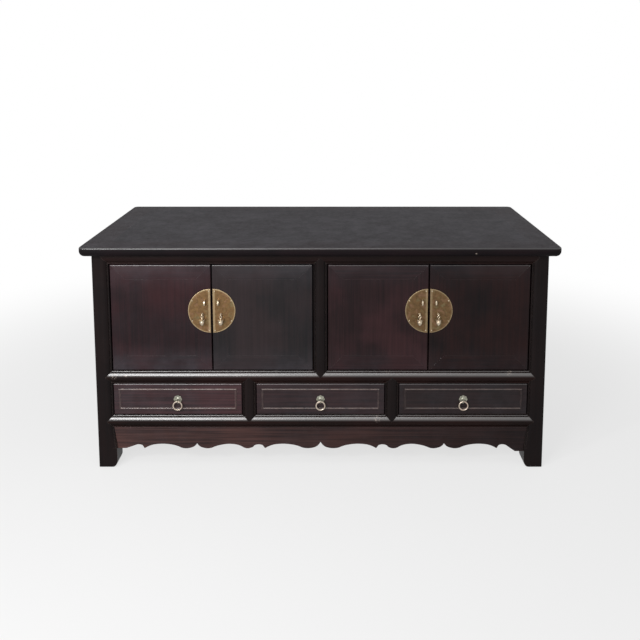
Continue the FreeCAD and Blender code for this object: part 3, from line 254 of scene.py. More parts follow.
def wax_bloom(tree, place, facing, haze, ends, wax_and_sheen_up):
    """How far old wax clouds the lacquer: in soft patches of about 160 mm with a mottle of 45 mm.
    It grows from 0.15 of itself to the whole between two distances from a height, where ends gives
    (height, near, far), and with settled it lies only on what faces up, where its grey is also a
    painted reflection of the bright surroundings."""
    patch, spot = 160 * MM, 45 * MM
    patches = add(tree, "TexNoise", {"Vector": place, "Scale": 1 / patch, "Detail": 3, "Roughness": 0.5})
    mottle = add(tree, "TexNoise", {"Vector": place, "Scale": 1 / spot, "Detail": 4, "Roughness": 0.6})
    patches = add(tree, "MapRange", (patches, 0.62, 0.38, haze * 0.7, haze), **EASED)
    mottle = add(tree, "MapRange", (mottle, 0.3, 0.75, 0.45, 1), **EASED)
    bloom = add(tree, "Math", (patches, mottle), operation="MULTIPLY")
    if ends:
        height, near, far = ends
        gap = add(tree, "SeparateXYZ", (place,), "Z")
        gap = add(tree, "Math", (gap, height), operation="SUBTRACT")
        gap = add(tree, "Math", (gap,), operation="ABSOLUTE")
        grown = add(tree, "MapRange", (gap, near, far, 0.15, 1), **EASED)
        bloom = add(tree, "Math", (bloom, grown), operation="MULTIPLY")
    # Painted reflection: the grey is kept to what faces up, where the bright surroundings would be
    # mirrored.
    if wax_and_sheen_up:
        level = add(tree, "MapRange", (facing, 0.75, 0.98, 0, 1), **EASED)
        bloom = add(tree, "Math", (bloom, level), operation="MULTIPLY")
    return bloom


def cloth_polish(tree, parts, facing, polish, tucked):
    """How far a cloth has polished the lacquer: wholly where a round faces half up, not at all where
    it faces down or lies level, nor on the beads at the heights in tucked, within 3 mm."""
    reach = 3 * MM
    above = add(tree, "MapRange", (facing, -0.05, 0.5, 0, 1), **EASED)
    below = add(tree, "MapRange", (facing, 0.97, 0.85, 0, polish), **EASED)
    cloth = add(tree, "Math", (above, below), operation="MULTIPLY")
    for bead in tucked:
        missed = add(tree, "Math", (parts["Z"], bead, reach), operation="COMPARE")
        cloth = add(tree, "Math", (cloth, missed), operation="SUBTRACT", use_clamp=True)
    return cloth


def chipped(tree, place, chips, bare_wood, colour, height):
    """The colour and height of the lacquer, with small places knocked off it in crumbs of 5 mm: each
    chip is (x, y, z, radius)."""
    crumb = 5 * MM
    crumbs = add(tree, "TexNoise", {"Vector": place, "Scale": 1 / crumb, "Detail": 2, "Roughness": 0.6})
    crumbs = add(tree, "MapRange", (crumbs, 0.5, 0.58, 0, 1), **EASED)
    for x, y, z, radius in chips:
        gap = add(tree, "VectorMath", (place, (x, y, z)), "Value", operation="DISTANCE")
        bare = add(tree, "MapRange", (gap, radius, radius * 0.2, 0, 1), **EASED)
        bare = add(tree, "Math", (bare, crumbs), operation="MULTIPLY")
        colour = add(tree, "MixRGB", (bare, colour, hex_colour(bare_wood)))
        height = add(tree, "Math", (bare, -3, height), operation="MULTIPLY_ADD")
    return colour, height


def lacquer(
    name,
    deep,
    warm,
    rough=0.38,
    shine=0.1,
    polish=None,
    tucked=(),
    haze=0.0,
    worn=0.5,
    figured=0.3,
    patchy=0.3,
    relief=0.35,
    painted_shade_right=0.0,
    chips=(),
    ends=None,
    wax_and_sheen_up=False,
    crest=None,
):
    """Brushed lacquer over close-grained hardwood, rubbed with oil and worn by use: nearly black where
    its coats are thick, red-brown where they are thin, cloudy where wax has bloomed, and paler on its
    rubbed edges, which shine more than the faces because hands polish them.

    deep and warm are the hex colours of thick and thin coats. figured is how far the coats are thin
    along the figure's streaks, and patchy how far in patches. haze is how far wax clouds them, ends
    (height, near, far) keeps the wax to a member's ends, and settled keeps it to what faces up, where
    its grey is also a painted reflection of the bright surroundings.
    polish is the wax on the rounds that face half up, where a cloth reaches them, and tucked lists
    the heights of the beads under them, where it doesn't. worn is how far the edges are rubbed pale.
    fade is how much darker the right end is painted than the left, a painted shade for the light that
    falls off to the right. chips lists (x, y, z, radius) of small places where the lacquer is knocked
    off. crest gives the two depths between which a raised bead is rubbed through and, where it faces
    up, painted paler as a painted highlight."""
    look, _, _ = settings()
    material, tree, place = new_material(name)
    parts = add(tree, "SeparateXYZ", (place,)).node.outputs
    normal = add(tree, "NewGeometry", out="Normal")
    facing = add(tree, "SeparateXYZ", (normal,), "Z")
    patch, scuff = 160 * MM, 12 * MM
    # The figure's streaks are 5 mm wide and the pores 0.9 mm, as coarse as the render needs them.
    streaks = grain_places(tree, place, 5 * MM, 250 * MM)
    figure = add(tree, "TexNoise", {"Vector": streaks, "Scale": 1, "Detail": 3, "Roughness": 0.6})
    threads = grain_places(tree, place, 0.9 * MM, 30 * MM)
    pores = add(tree, "TexNoise", {"Vector": threads, "Scale": 1, "Detail": 2, "Roughness": 0.5})
    patches = add(tree, "TexNoise", {"Vector": place, "Scale": 1 / patch, "Detail": 3, "Roughness": 0.5})
    scuffs = add(tree, "TexNoise", {"Vector": place, "Scale": 1 / scuff, "Detail": 4, "Roughness": 0.7})
    thin = add(tree, "MapRange", (figure, 0.3, 0.7, 0, figured), **EASED)
    rubbings = add(tree, "MapRange", (patches, 0.38, 0.62, 0, patchy), **EASED)
    thin = add(tree, "Math", (rubbings, thin), operation="ADD")
    colour = add(tree, "MixRGB", (thin, hex_colour(deep), hex_colour(warm)), use_clamp=True)
    # Painted shade: the colour is mixed toward near black at the right end, as the light falls off there.
    if painted_shade_right:
        amount = add(tree, "MapRange", (parts["X"], -0.6, 0.6, 0, painted_shade_right), **EASED)
        colour = add(tree, "MixRGB", (amount, colour, hex_colour("0b0909")))
    if haze:
        bloom = wax_bloom(tree, place, facing, haze, ends, wax_and_sheen_up)
        colour = add(tree, "MixRGB", (bloom, colour, hex_colour(look.bloom)))
    eased = add(tree, "Bevel", {"Radius": look.worn_reach}, samples=4)
    likeness = add(tree, "VectorMath", (eased, normal), "Value", operation="DOT_PRODUCT")
    edge = add(tree, "MapRange", (likeness, 0.97, 0.75, 0, 1), **EASED)
    scuffed = add(tree, "MapRange", (scuffs, 0.36, 0.64, worn * 0.2, worn), **EASED)
    rubbed = add(tree, "Math", (edge, scuffed), operation="MULTIPLY")
    # Painted highlight: a raised bead is painted paler where it faces up, as if light from above caught
    # it, besides the rubbing; it also takes the edges' gloss.
    if crest:
        bead = add(tree, "MapRange", (parts["Y"], *crest, 0, 1), **EASED)
        lit = add(tree, "MapRange", (facing, -0.1, 0.4, 0.1, 1.5), **EASED)
        lit = add(tree, "Math", (lit, bead), operation="MULTIPLY")
        rubbed = add(tree, "Math", (lit, scuffed, rubbed), operation="MULTIPLY_ADD")
        edge = add(tree, "Math", (edge, lit), operation="MAXIMUM")
    colour = add(tree, "MixRGB", (rubbed, colour, hex_colour(look.rubbed)), use_clamp=True)
    height = add(tree, "Math", (pores, 0.6, figure), operation="MULTIPLY_ADD")
    if chips:
        colour, height = chipped(tree, place, chips, look.bare_wood, colour, height)
    wax = add(tree, "MapRange", (edge, 0, 1, 0, worn * 0.5))
    matt = add(tree, "MapRange", (scuffs, 0.3, 0.7, rough - 0.04, rough + 0.04), **EASED)
    if polish:
        cloth = cloth_polish(tree, parts, facing, polish, tucked)
        wax = add(tree, "Math", (cloth, wax), operation="MAXIMUM")
    bump = add(tree, "Bump", {"Strength": relief, "Distance": 0.12 * MM, "Height": height})
    skin = {"Base Color": colour, "Roughness": matt, "Normal": bump, "Specular IOR Level": shine}
    skin |= {"Coat Weight": wax, "Coat Roughness": 0.33, "Coat IOR": 2.1}
    add(tree, "OutputMaterial", {"Surface": add(tree, "BsdfPrincipled", skin)})
    return material


def softwood(name):
    """Planed softwood, unfinished and darkened by age: straw brown with darker growth lines 9 mm
    apart and fibres drawn 0.8 mm wide, browner where hands and dust have reached it, and dull."""
    material, tree, place = new_material(name)
    growth = grain_places(tree, place, 9 * MM, 500 * MM)
    lines = add(tree, "TexNoise", {"Vector": growth, "Scale": 1, "Detail": 4, "Roughness": 0.6})
    threads = grain_places(tree, place, 0.8 * MM, 40 * MM)
    fibres = add(tree, "TexNoise", {"Vector": threads, "Scale": 1, "Detail": 2, "Roughness": 0.5})
    patch = 120 * MM
    dirt = add(tree, "TexNoise", {"Vector": place, "Scale": 1 / patch, "Detail": 3})
    amount = add(tree, "MapRange", (lines, 0.35, 0.65, 0, 1), **EASED)
    colour = add(tree, "MixRGB", (amount, hex_colour("6b4d34"), hex_colour("977551")))
    amount = add(tree, "MapRange", (fibres, 0.4, 0.7, 0, 0.35), **EASED)
    colour = add(tree, "MixRGB", (amount, colour, hex_colour("5a3f2a")))
    amount = add(tree, "MapRange", (dirt, 0.4, 0.7, 0, 0.5), **EASED)
    colour = add(tree, "MixRGB", (amount, colour, hex_colour("4a3626")))
    height = add(tree, "Math", (lines, fibres), operation="ADD")
    bump = add(tree, "Bump", {"Strength": 0.5, "Distance": 0.2 * MM, "Height": height})
    shader = add(tree, "BsdfPrincipled", {"Base Color": colour, "Roughness": 0.7, "Normal": bump})
    add(tree, "OutputMaterial", {"Surface": shader})
    return material


def brass(name, metal, tarnish, rough=0.42, patch=18 * MM, amount=0.6, rubbed=0.65):
    """Brass, hammered, cast or drawn and left to age: warm metal under a thin brown skin, with
    green-grey and pinkish patches, and bright again where a finger or a cloth rubs it. patch is
    the size of the stains and amount how far they cover it, and rubbed is how bright handling leaves
    it. Its grain is drawn 1.6 mm wide, coarser than it is, so that it shows."""
    _, look, _ = settings()
    material, tree, place = new_material(name)
    grain, wider = 1.6 * MM, patch * 1.7
    clouds = add(tree, "TexNoise", {"Vector": place, "Scale": 1 / patch, "Detail": 5, "Roughness": 0.65})
    stains = {"Vector": place, "Scale": 1 / wider, "Detail": 3, "Roughness": 0.5, "Distortion": 0.4}
    hues = add(tree, "TexNoise", stains)
    grains = add(tree, "TexNoise", {"Vector": place, "Scale": 1 / grain, "Detail": 3, "Roughness": 0.6})
    stain = add(tree, "MapRange", (clouds, 0.35, 0.7, 0, amount), **EASED)
    colour = add(tree, "MixRGB", (stain, hex_colour(metal), hex_colour(tarnish)))
    green = add(tree, "MapRange", (hues, 0.52, 0.72, 0, 0.38), **EASED)
    colour = add(tree, "MixRGB", (green, colour, hex_colour("7d7a5a")))
    pink = add(tree, "MapRange", (hues, 0.47, 0.3, 0, 0.3), **EASED)
    colour = add(tree, "MixRGB", (pink, colour, hex_colour("94705e")))
    handled = add(tree, "Attribute", out="Fac", attribute_name="handled")
    handled = add(tree, "Math", (handled, rubbed), operation="MULTIPLY")
    colour = add(tree, "MixRGB", (handled, colour, hex_colour(look.bright)))
    height = add(tree, "Math", (grains, 0.5, clouds), operation="MULTIPLY_ADD")
    bump = add(tree, "Bump", {"Strength": 0.55, "Distance": 0.2 * MM, "Height": height})
    matt = add(tree, "MapRange", (clouds, 0.3, 0.7, rough - 0.08, rough + 0.12), **EASED)
    skin = {"Base Color": colour, "Metallic": 0.85, "Roughness": matt, "Normal": bump}
    add(tree, "OutputMaterial", {"Surface": add(tree, "BsdfPrincipled", skin)})
    return material


def finish_node(name, material):
    """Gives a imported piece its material."""
    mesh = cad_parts[name].data
    mesh.materials.clear()
    mesh.materials.append(material)


def new_piece(name, mesh, body, node, material):
    """Links a finished mesh as a piece that rides on its body and stands for its node."""
    mesh.materials.append(material)
    piece = bpy.data.objects.new(name, mesh)
    bpy.context.scene.collection.objects.link(piece)
    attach(piece, body)
    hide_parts(node)
    return piece


def packed_triangles(mesh):
    """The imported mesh's points, without repeats, and its triangles on them as rows of three."""
    points = np.empty(len(mesh.vertices) * 3, np.float32)
    mesh.vertices.foreach_get("co", points)
    corners = np.empty(len(mesh.loops), np.int32)
    mesh.loops.foreach_get("vertex_index", corners)
    places, same = np.unique(points.reshape(-1, 3), axis=0, return_inverse=True)
    return places, same.reshape(-1)[corners].reshape(-1, 3)


def solid_numbers(triangles, count):
    """Which solid each triangle belongs to. The triangles come solid by solid, and a solid is whole
    once every edge met since the last one has been met an even number of times:
    open = cumulative sum of +1 for an odd meeting and -1 for an even one, and a solid ends at 0."""
    ends = np.stack([triangles, np.roll(triangles, -1, axis=1)], axis=2).reshape(-1, 2)
    keys = ends.min(axis=1).astype(np.int64) * count + ends.max(axis=1)
    order = np.argsort(keys, kind="stable")
    fresh = np.r_[True, np.diff(keys[order]) != 0]
    places = np.arange(len(keys))
    meeting = places - np.maximum.accumulate(np.where(fresh, places, 0))
    step = np.empty(len(keys), np.int64)
    step[order] = 1 - 2 * (meeting % 2)
    still_open = np.cumsum(step.reshape(-1, 3).sum(axis=1))
    if still_open[-1] != 0:
        raise RuntimeError("a packed mesh is not closed")
    return np.r_[0, np.cumsum(still_open[:-1] == 0)]


def boards(node, body, material, width=None):
    """Wooden members of a node, each with its own grain and with its sharp edges eased: copies whose
    flat faces are whole again, and a narrow rounding along each edge that turns by more than a
    moulding's facets do. A member's grain runs along its longest side."""
    look, _, _ = settings()
    stride = np.array((3.1, 5.7, 7.3))
    level, sharp = math.radians(0.2), math.radians(28)
    places, triangles = packed_triangles(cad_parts[node].data)
    owner = solid_numbers(triangles, len(places))
    keys, faces = np.unique(triangles + owner[:, None] * len(places), return_inverse=True)
    board = keys // len(places)
    points = places[keys % len(places)]
    grain = np.zeros_like(points)
    shift = np.zeros_like(points)
    for number in range(board.max() + 1):
        own = board == number
        low, high = points[own].min(axis=0), points[own].max(axis=0)
        grain[own, np.argmax(high - low)] = 1
        shift[own] = (low + high) * stride + number
    mesh = bpy.data.meshes.new(node + "_wood")
    mesh.from_pydata(points, [], faces.reshape(-1, 3))
    for name, values in (("board_grain", grain), ("board_shift", shift)):
        layer = mesh.attributes.new(name, "FLOAT_VECTOR", "POINT")
        layer.data.foreach_set("vector", values.astype(np.float32).ravel())
    work = bmesh.new()
    work.from_mesh(mesh)
    bmesh.ops.dissolve_limit(work, angle_limit=level, verts=work.verts, edges=work.edges)
    for face in work.faces:
        face.smooth = True
    work.to_mesh(mesh)
    work.free()
    piece = new_piece(node + "_wood", mesh, body, node, material)
    bevel = piece.modifiers.new("Eased edges", "BEVEL")
    bevel.width = width or look.eased_edge
    bevel.segments = 2
    bevel.limit_method = "ANGLE"
    bevel.angle_limit = sharp
    bevel.harden_normals = True
    return piece


class CABINET_OT_top(bpy.types.Operator):
    """Table top: a frame with a rounded lower edge round a flush panel, battens under it"""

    bl_idname = "cabinet.top"
    bl_label = "Table top"

    def execute(self, context):
        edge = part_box("top_frame_long_rails")[0]
        height, radius = edge.z + 11 * MM, 4.5 * MM
        chips = [(x, edge.y, height, radius) for x in (-0.47, 0.45)]
        # Rubbed to a dull sheen and clouded with wax: a cool grey black with faint mottles. On what faces
        # up the grey is also a painted reflection of the bright surroundings.
        cloudy = {"rough": 0.6, "shine": 0.07, "haze": 0.33, "worn": 0.06, "wax_and_sheen_up": True}
        flat = lacquer("rubbed_lacquer_top", "0c0b0e", "161115", **cloudy)
        # The same lacquer on the frame, but glossy on its arris, and reddish on its upright edge, where no
        # painted reflection is laid.
        rims = lacquer("rubbed_lacquer_top_frame", "0e0b0d", "1c1114", polish=0.5, chips=chips, **cloudy)
        boards("top_panel", "root", flat, JOINT_EDGE)
        for node in ("top_frame_long_rails", "top_frame_end_rails"):
            boards(node, "root", rims, JOINT_EDGE)
        # Planed and left bare underneath: dull straw brown.
        boards("top_battens", "root", softwood("planed_softwood_battens"))
        return {"FINISHED"}


class CABINET_OT_frame(bpy.types.Operator):
    """Posts, rails and stiles with their bead, groove and round"""

    bl_idname = "cabinet.frame"
    bl_label = "Posts and rails"

    def execute(self, context):
        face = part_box("front_mid_rail")[0].y
        nicks = (
            (-0.615, face, 0.288, 12 * MM),
            (-0.58, face, 0.291, 8 * MM),
            (-0.25, face, 0.293, 7 * MM),
            (0.56, face, 0.3, 14 * MM),
            (0.17, face, 0.155, 14 * MM),
            (0.2, face, 0.3, 10 * MM),
        )
        # The middle of a rail's lower bead, above its underside, and the stop lip under the top rail.
        bead, lip = 2 * MM, 8 * MM
        beads = [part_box(node)[0].z + bead for node in ("front_mid_rail", "front_low_rail")]
        top_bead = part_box("front_top_rail")[0].z + lip + bead
        # Nearly black, with a low sheen and a brown edge where the bead is handled.
        upright = lacquer(
            "rubbed_lacquer_posts", "110d0d", "1e1413", rough=0.34, shine=0.07, haze=0.02, worn=0.4
        )
        # Glossy on the upper round, which a cloth keeps bright, and dark red-brown below it.
        level = lacquer(
            "polished_lacquer_rails",
            "120a09",
            "26120f",
            rough=0.54,
            shine=0.08,
            polish=1.0,
            tucked=beads,
            worn=0.12,
            relief=0.04,
            chips=nicks,
        )
        # The same under the table top, where it stays dull.
        shaded = lacquer(
            "rubbed_lacquer_top_rail",
            "150e0d",
            "261514",
            rough=0.42,
            shine=0.08,
            polish=0.4,
            tucked=(top_bead,),
            worn=0.1,
        )
        # Brushed on the sides and back with fewer coats, so the gloss is broken.
        plain = lacquer("brushed_lacquer_side_rails", "131011", "211312", rough=0.5, shine=0.1, polish=0.3)
        members = {
            "post_front_left": upright,
            "post_front_right": upright,
            "post_back_left": upright,
            "post_back_right": upright,
            "centre_stile": upright,
            "drawer_stiles": upright,
            "front_top_rail": shaded,
            "front_mid_rail": level,
            "front_low_rail": level,
            "left_side_rails": plain,
            "right_side_rails": plain,
            "back_frame": plain,
        }
        for node, finish in members.items():
            boards(node, "root", finish, RAIL_EDGE)
        return {"FINISHED"}


class CABINET_OT_panels(bpy.types.Operator):
    """Side and back panels, floor, partition and runners"""

    bl_idname = "cabinet.panels"
    bl_label = "Panels and boards"

    def execute(self, context):
        # Thinner coats than in front: the grain shows through, and wax has clouded it in patches.
        side = lacquer(
            "rubbed_lacquer_sides", "221a1b", "3c2823", rough=0.42, shine=0.12, haze=0.25, figured=0.5
        )
        # One or two coats, brushed on and never rubbed down: brown and dull.
        back = lacquer(
            "brushed_lacquer_back", "282021", "47322b", rough=0.5, shine=0.12, haze=0.15, figured=0.6
        )
        # Bare inside, where it isn't seen: straw brown with clear growth lines.
        plain = softwood("planed_softwood_boards")
        for node in ("left_side_panels", "right_side_panels"):
            boards(node, "root", side, BOARD_EDGE)
        boards("back_panels", "root", back, BOARD_EDGE)
        for node in ("cabinet_floor", "centre_partition", "drawer_runners"):
            boards(node, "root", plain, BOARD_EDGE)
        return {"FINISHED"}


class CABINET_OT_aprons(bpy.types.Operator):
    """Scalloped aprons under the lowest rails"""

    bl_idname = "cabinet.aprons"
    bl_label = "Aprons"

    def execute(self, context):
        # Thin red-brown coats that show the streaks of the wood, painted darker to the right as a painted
        # shade of the light falling off that way.
        streaked = {"rough": 0.42, "shine": 0.06, "figured": 0.7}
        wood = lacquer("rubbed_lacquer_apron", "291e1d", "523935", haze=0.1, painted_shade_right=0.75, **streaked)
        # The same on the sides, painted darker as a painted shade, since they are out of the light.
        side = lacquer("rubbed_lacquer_side_aprons_painted_shade", "231a19", "3c2a27", **streaked)
        boards("front_apron", "root", wood)
        boards("side_aprons", "root", side)
        return {"FINISHED"}


class CABINET_OT_doors(bpy.types.Operator):
    """Doors: mitred frames round flush panels"""

    bl_idname = "cabinet.doors"
    bl_label = "Doors"

    def execute(self, context):
        # Thick and thin coats of each door, and how far wax clouds it.
        tones = (
            ("1b1416", "361e20", 0.36),
            ("1c1b1c", "312728", 0.27),
            ("1c1415", "3a2426", 0.13),
            ("120f10", "2a1918", 0.12),
        )
        for door, (deep, warm, haze) in zip(DOORS, tones):
            # Each door was finished by itself: a wine black, more or less clouded at its top and foot.
            wood = lacquer(
                f"rubbed_lacquer_{door}",
                deep,
                warm,
                rough=0.37,
                shine=0.05,
                polish=0.7,
                haze=haze,
                worn=0.07,
                figured=0.3,
                patchy=0.45,
                ends=(0.465, 0.07, 0.18),
            )
            boards(door + "_panel", door, wood, JOINT_EDGE)
            boards(door + "_frame", door, wood, DOOR_EDGE)
        return {"FINISHED"}


def half_disc_loop(radius, inset, count):
    """One loop of a half disc's outline, drawn in by an inset. Across is measured from the straight
    side. The arc is (r cos t, r sin t) with r = radius - inset, for t from -a to a where
    cos a = inset / r, and the rest of the loop runs straight back at across = inset."""
    reach = radius - inset
    end = math.acos(inset / reach)
    turn = np.linspace(-end, end, count * 2 // 3)
    back = np.linspace(reach * math.sin(end), -reach * math.sin(end), count - len(turn) + 2)[1:-1]
    arc = np.stack([reach * np.cos(turn), reach * np.sin(turn)], axis=1)
    return np.concatenate([arc, np.stack([np.full(len(back), inset), back], axis=1)])


def plate_surface(radius, thickness, seed):
    """Half a disc of beaten sheet with a rounded rim, a scribed line inside the rim and another along
    the straight side. Height is thickness - 0.25 mm exp(-(d / 0.5 mm)^2) for each line, d away
    from it, less shallow round dents depth * exp(-(d / size)^2) at random places. Returns points
    as (across, forward, up), triangles, and how much each point is rubbed bright."""
    _, look, _ = settings()
    count, steps = 240, 56
    line_width, line_depth = 0.5 * MM, 0.25 * MM
    rim_line, side_line = 3 * MM, 7 * MM
    dent_count, deepest = 70, look.dent_depth * 1.5
    rim_reach, strip_width, strip_shine = 2.2 * MM, 6.6 * MM, 0.45
    # The rim's section: how far each loop is drawn in and how far it rises, of the thickness.
    rim_shares = ((0, 0), (0, 0.55), (0.1, 0.78), (0.25, 0.92), (0.45, 1))
    loops = [half_disc_loop(radius, share * thickness, count) for share, _ in rim_shares]
    heights = [np.full(count, rise * thickness) for _, rise in rim_shares]
    # Half a disc's centre of area lies 4 / (3 pi) of its radius from its straight side.
    middle = np.array([radius * 0.42, 0])
    for share in np.linspace(1, 0, steps)[1:]:
        loops.append(middle + (loops[len(rim_shares) - 1] - middle) * max(share, 0.001))
        heights.append(np.full(count, thickness))
    flat = np.concatenate(loops)
    height = np.concatenate(heights)
    inside = np.arange(len(flat)) >= len(rim_shares) * count
    from_rim = radius - np.hypot(flat[:, 0], flat[:, 1])
    from_side = flat[:, 0]
    cut = sum(np.exp(-((gap / line_width) ** 2)) for gap in (from_rim - rim_line, from_side - side_line))
    random = np.random.default_rng(seed)
    spots = random.uniform((0, -radius), (radius, radius), (dent_count, 2))
    sizes = random.uniform(2.5 * MM, 6 * MM, dent_count)
    depths = random.uniform(0.2, 1, dent_count) * look.dent_depth
    gaps = np.hypot(flat[:, :1] - spots[:, 0], flat[:, 1:] - spots[:, 1])
    dents = (depths * np.exp(-((gaps / sizes) ** 2))).sum(axis=1)
    height[inside] -= (line_depth * np.minimum(cut, 1) + np.minimum(dents, deepest))[inside]
    points = np.stack([flat[:, 0], height, flat[:, 1]], axis=1)
    rows = np.arange(len(loops) - 1)[:, None] * count
    here = np.arange(count)
    near, far = rows + here, rows + (here + 1) % count
    corners = np.stack([near, far, far + count, near, far + count, near + count], axis=2)
    handled = np.maximum(np.exp(-((from_rim / rim_reach) ** 2)), strip_shine * (from_side < strip_width))
    return points, corners.reshape(-1, 3), handled


def door_plate(door, number, material):
    """The half disc on a door, with its straight side along the door's free edge."""
    low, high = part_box(door + "_plate")
    points, triangles, handled = plate_surface((high.z - low.z) / 2, high.y - low.y, number)
    free_right = number % 2 == 0
    way = 1 if free_right else -1
    side = high.x if free_right else low.x
    placed = np.stack(
        [side - way * points[:, 0], high.y - points[:, 1], (low.z + high.z) / 2 + points[:, 2]], axis=1
    )
    mesh = bpy.data.meshes.new(door + "_half_disc")
    mesh.from_pydata(placed, [], triangles[:, ::way])
    mesh.attributes.new("handled", "FLOAT", "POINT").data.foreach_set("value", handled.astype(np.float32))
    mesh.shade_smooth()
    return new_piece(door + "_half_disc", mesh, door, door + "_plate", material)


class CABINET_OT_door_brass(bpy.types.Operator):
    """Brass on the doors: half discs, lock eyes, nails and pendants"""

    bl_idname = "cabinet.door_brass"
    bl_label = "Door brass"

    def execute(self, context):
        _, look, _ = settings()
        # Beaten sheet under a brown skin: mottled olive, gold and pink, dull but bright at its rim.
        sheet = brass("beaten_brass_sheet", look.sheet, "4d3a27", rough=0.46, patch=10 * MM, amount=0.7)
        # The same sheet on the right pair, painted browner and darker as a painted shade of the light
        # falling off to the right.
        brown = brass(
            "beaten_brass_sheet_painted_shade",
            look.shaded_sheet,
            "463623",
            rough=0.48,
            patch=10 * MM,
            amount=0.6,
            rubbed=0.42,
        )
        # Cast fittings that fingers keep bright: pale gold with brown left in the hollows.
        worn = brass("rubbed_cast_brass", look.worn, "5d4c36", rough=0.32, patch=6 * MM, amount=0.6)
        for number, door in enumerate(DOORS):
            door_plate(door, number, sheet if number < 2 else brown)
            finish_node(door + "_fittings", worn)
            finish_node(door + "_pendant", worn)
        return {"FINISHED"}


class CABINET_OT_drawers(bpy.types.Operator):
    """Drawers: moulded fronts and plain boxes"""

    bl_idname = "cabinet.drawers"
    bl_label = "Drawers"

    def execute(self, context):
        # Thick and thin coats of each drawer, how far wax clouds it and how far its bead is worn.
        # Coats and wear step darker from left to right as a painted shade of the light falling off that
        # way.
        tones = (
            ("201617", "43292b", 0.18, 0.8),
            ("191213", "322122", 0.16, 0.65),
            ("141010", "281c1c", 0.14, 0.4),
        )
        # Bare inside, as the boards of the carcass are.
        plain = softwood("planed_softwood_drawers")
        rise = 2 * MM
        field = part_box("left_drawer_front")[0].y + rise
        bead = (field - 0.3 * MM, field - 1.4 * MM)
        for drawer, (deep, warm, haze, worn) in zip(DRAWERS, tones):
            # Streaked along the grain, with the bead and the arris rubbed paler, and the bead painted
            # paler still where it faces up, as a painted highlight.
            front = lacquer(
                f"rubbed_lacquer_{drawer}",
                deep,
                warm,
                rough=0.34,
                shine=0.1,
                polish=0.6,
                haze=haze,
                worn=worn,
                figured=0.6,
                crest=bead,
            )
            boards(drawer + "_front", drawer, front, BEAD_EDGE)
            boards(drawer + "_box", drawer, plain, BOARD_EDGE)
            boards(drawer + "_bottom", drawer, plain, BOARD_EDGE)
        return {"FINISHED"}


class CABINET_OT_pulls(bpy.types.Operator):
    """Drawer pulls: petalled backplates and rings"""

    bl_idname = "cabinet.pulls"
    bl_label = "Drawer pulls"

    def execute(self, context):
        _, look, _ = settings()
        # Stamped backplates gone grey-green in their hollows.
        worn = brass("rubbed_stamped_brass", "a8a79a", "5e6156", rough=0.36, patch=6 * MM, amount=0.7)
        # Drawn wire that every pull polishes: pale and bright, pinkish in its shade.
        pale = brass("polished_brass_wire", look.pale, "8d8070", rough=0.3, patch=9 * MM, amount=0.4)
        for drawer in DRAWERS:
            finish_node(drawer + "_rosette", worn)
            finish_node(drawer + "_ring", pale)
        return {"FINISHED"}


def seen_rays(tree):
    """1 for the rays that show the background: the camera's, and those that gloss or glass turns."""
    rays = add(tree, "LightPath").node.outputs
    seen = add(tree, "Math", (rays["Is Camera Ray"], rays["Is Glossy Ray"]), operation="MAXIMUM")
    return add(tree, "Math", (seen, rays["Is Transmission Ray"]), operation="MAXIMUM")


def soft_lamp(name, place, target, width, height, power):
    """A rectangular soft lamp at a place, facing a target."""
    lamp = bpy.data.lights.new(name, "AREA")
    lamp.shape = "RECTANGLE"
    lamp.size = width
    lamp.size_y = height
    lamp.energy = power
    item = bpy.data.objects.new(name, lamp)
    bpy.context.scene.collection.objects.link(item)
    aim = np.array(target) - np.array(place)
    flat = math.hypot(aim[0], aim[1])
    item.location = place
    item.rotation_euler = (math.pi / 2 + math.atan2(aim[2], flat), 0, math.atan2(-aim[0], aim[1]))
    return item


def white_paper(name):
    """Matt paper: an even pale grey in the light, and white far off, to the eye and in the gloss."""
    material, tree, place = new_material(name)
    paper = {"Base Color": hex_colour("c8c8c8"), "Roughness": 0.9, "Specular IOR Level": 0.1}
    lit = add(tree, "BsdfPrincipled", paper)
    gap = add(tree, "VectorMath", (place,), "Value", operation="LENGTH")
    far = add(tree, "MapRange", (gap, 1.0, 2.4, 0.7, 1.0), **EASED)
    amount = add(tree, "Math", (seen_rays(tree), far), operation="MULTIPLY")
    white = add(tree, "Emission", {"Strength": 1.0})
    add(tree, "OutputMaterial", {"Surface": add(tree, "MixShader", (amount, lit, white))})
    return material


def stand_camera(studio):
    """The camera, level across and looking a little down."""
    camera = bpy.data.cameras.new("camera")
    camera.lens = studio.lens
    camera.shift_x, camera.shift_y = studio.camera_shift
    viewer = bpy.data.objects.new("camera", camera)
    bpy.context.scene.collection.objects.link(viewer)
    viewer.location = studio.camera_place
    viewer.rotation_euler = (math.pi / 2 - studio.camera_pitch, 0, 0)
    return viewer


def lay_floor():
    """A square floor, 60 m wide, so that its far edge never shows."""
    reach = 30.0
    corners = [(-reach, -reach, 0), (reach, -reach, 0), (reach, reach, 0), (-reach, reach, 0)]
    floor = bpy.data.meshes.new("floor")
    floor.from_pydata(corners, [], [(0, 1, 2, 3)])
    floor.materials.append(white_paper("matt_white_paper"))
    ground = bpy.data.objects.new("floor", floor)
    bpy.context.scene.collection.objects.link(ground)


def studio_world(sky):
    """A white background that lights the cabinet evenly, but less brightly than it looks."""
    world = bpy.data.worlds.new("studio")
    world.use_nodes = True
    tree = world.node_tree
    tree.nodes.clear()
    strength = add(tree, "MapRange", (seen_rays(tree), 0, 1, sky, 1.0))
    light = add(tree, "Background", {"Color": (1, 1, 1, 1), "Strength": strength})
    add(tree, "OutputWorld", {"Surface": light})
    return world


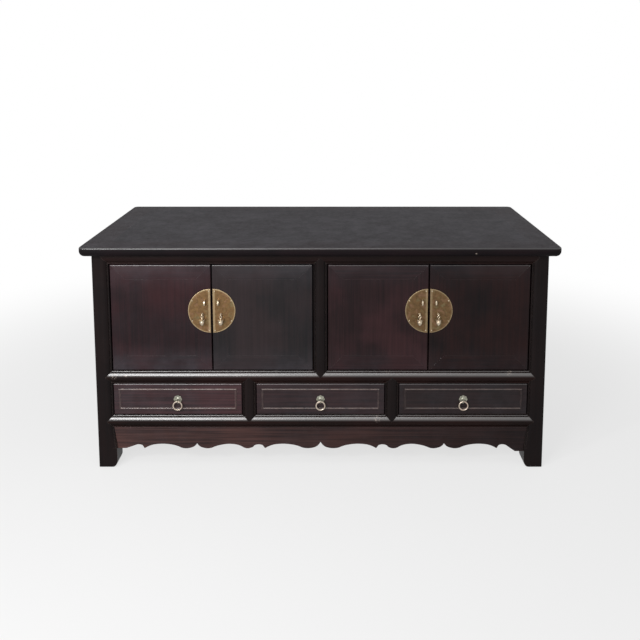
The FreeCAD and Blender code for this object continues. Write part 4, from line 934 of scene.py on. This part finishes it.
class CABINET_OT_stage(bpy.types.Operator):
    """Studio: pale floor, soft lamps, even surroundings and the camera"""

    bl_idname = "cabinet.stage"
    bl_label = "Studio"

    def execute(self, context):
        _, _, studio = settings()
        # Each lamp's place, what it faces, its width and height, and its power.
        lamps = {
            "key_lamp": ((-0.9, -2.3, 1.4), (-0.1, -0.3, 0.4), 0.65, 1.5, studio.key_strength),
            "side_lamp": ((-1.55, -1.9, 1.6), (-0.1, -0.3, 0.4), 0.22, 0.22, studio.side_strength),
            "front_lamp": ((-0.15, -2.75, 2.1), (0, -0.3, 0.4), 0.9, 0.9, studio.front_strength),
            "top_lamp": ((-0.3, -1.5, 2.9), (0, -0.1, 0.4), 1.8, 0.8, studio.top_strength),
        }
        context.scene.camera = stand_camera(studio)
        lay_floor()
        for name, values in lamps.items():
            soft_lamp(name, *values)
        context.scene.world = studio_world(studio.sky)
        context.scene.view_settings.view_transform = "Standard"
        return {"FINISHED"}


OPERATORS = (
    CABINET_OT_stage,
    CABINET_OT_top,
    CABINET_OT_frame,
    CABINET_OT_panels,
    CABINET_OT_aprons,
    CABINET_OT_doors,
    CABINET_OT_door_brass,
    CABINET_OT_drawers,
    CABINET_OT_pulls,
)


class CABINET_PT_sidebar(bpy.types.Panel):
    """The cabinet's pieces and settings"""

    bl_idname = "CABINET_PT_sidebar"
    bl_label = "Low console cabinet"
    bl_space_type = "VIEW_3D"
    bl_region_type = "UI"
    bl_category = "Cabinet"

    def draw(self, context):
        for group in settings():
            for name in group.__annotations__:
                self.layout.prop(group, name)
        for operator in OPERATORS:
            self.layout.operator(operator.bl_idname)


CLASSES = (LacquerSettings, BrassSettings, StageSettings, *OPERATORS, CABINET_PT_sidebar)


def register():
    for item in CLASSES:
        bpy.utils.register_class(item)
    bpy.types.Scene.cabinet_lacquer = bpy.props.PointerProperty(type=LacquerSettings)
    bpy.types.Scene.cabinet_brass = bpy.props.PointerProperty(type=BrassSettings)
    bpy.types.Scene.cabinet_stage = bpy.props.PointerProperty(type=StageSettings)


def unregister():
    del bpy.types.Scene.cabinet_stage
    del bpy.types.Scene.cabinet_brass
    del bpy.types.Scene.cabinet_lacquer
    for item in reversed(CLASSES):
        bpy.utils.unregister_class(item)


def main():
    """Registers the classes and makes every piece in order."""
    register()
    for operator in OPERATORS:
        group, name = operator.bl_idname.split(".")
        result = getattr(getattr(bpy.ops, group), name)()
        if result != {"FINISHED"}:
            raise RuntimeError(f"{operator.bl_label} was not finished")


if __name__ == "__main__":
    main()
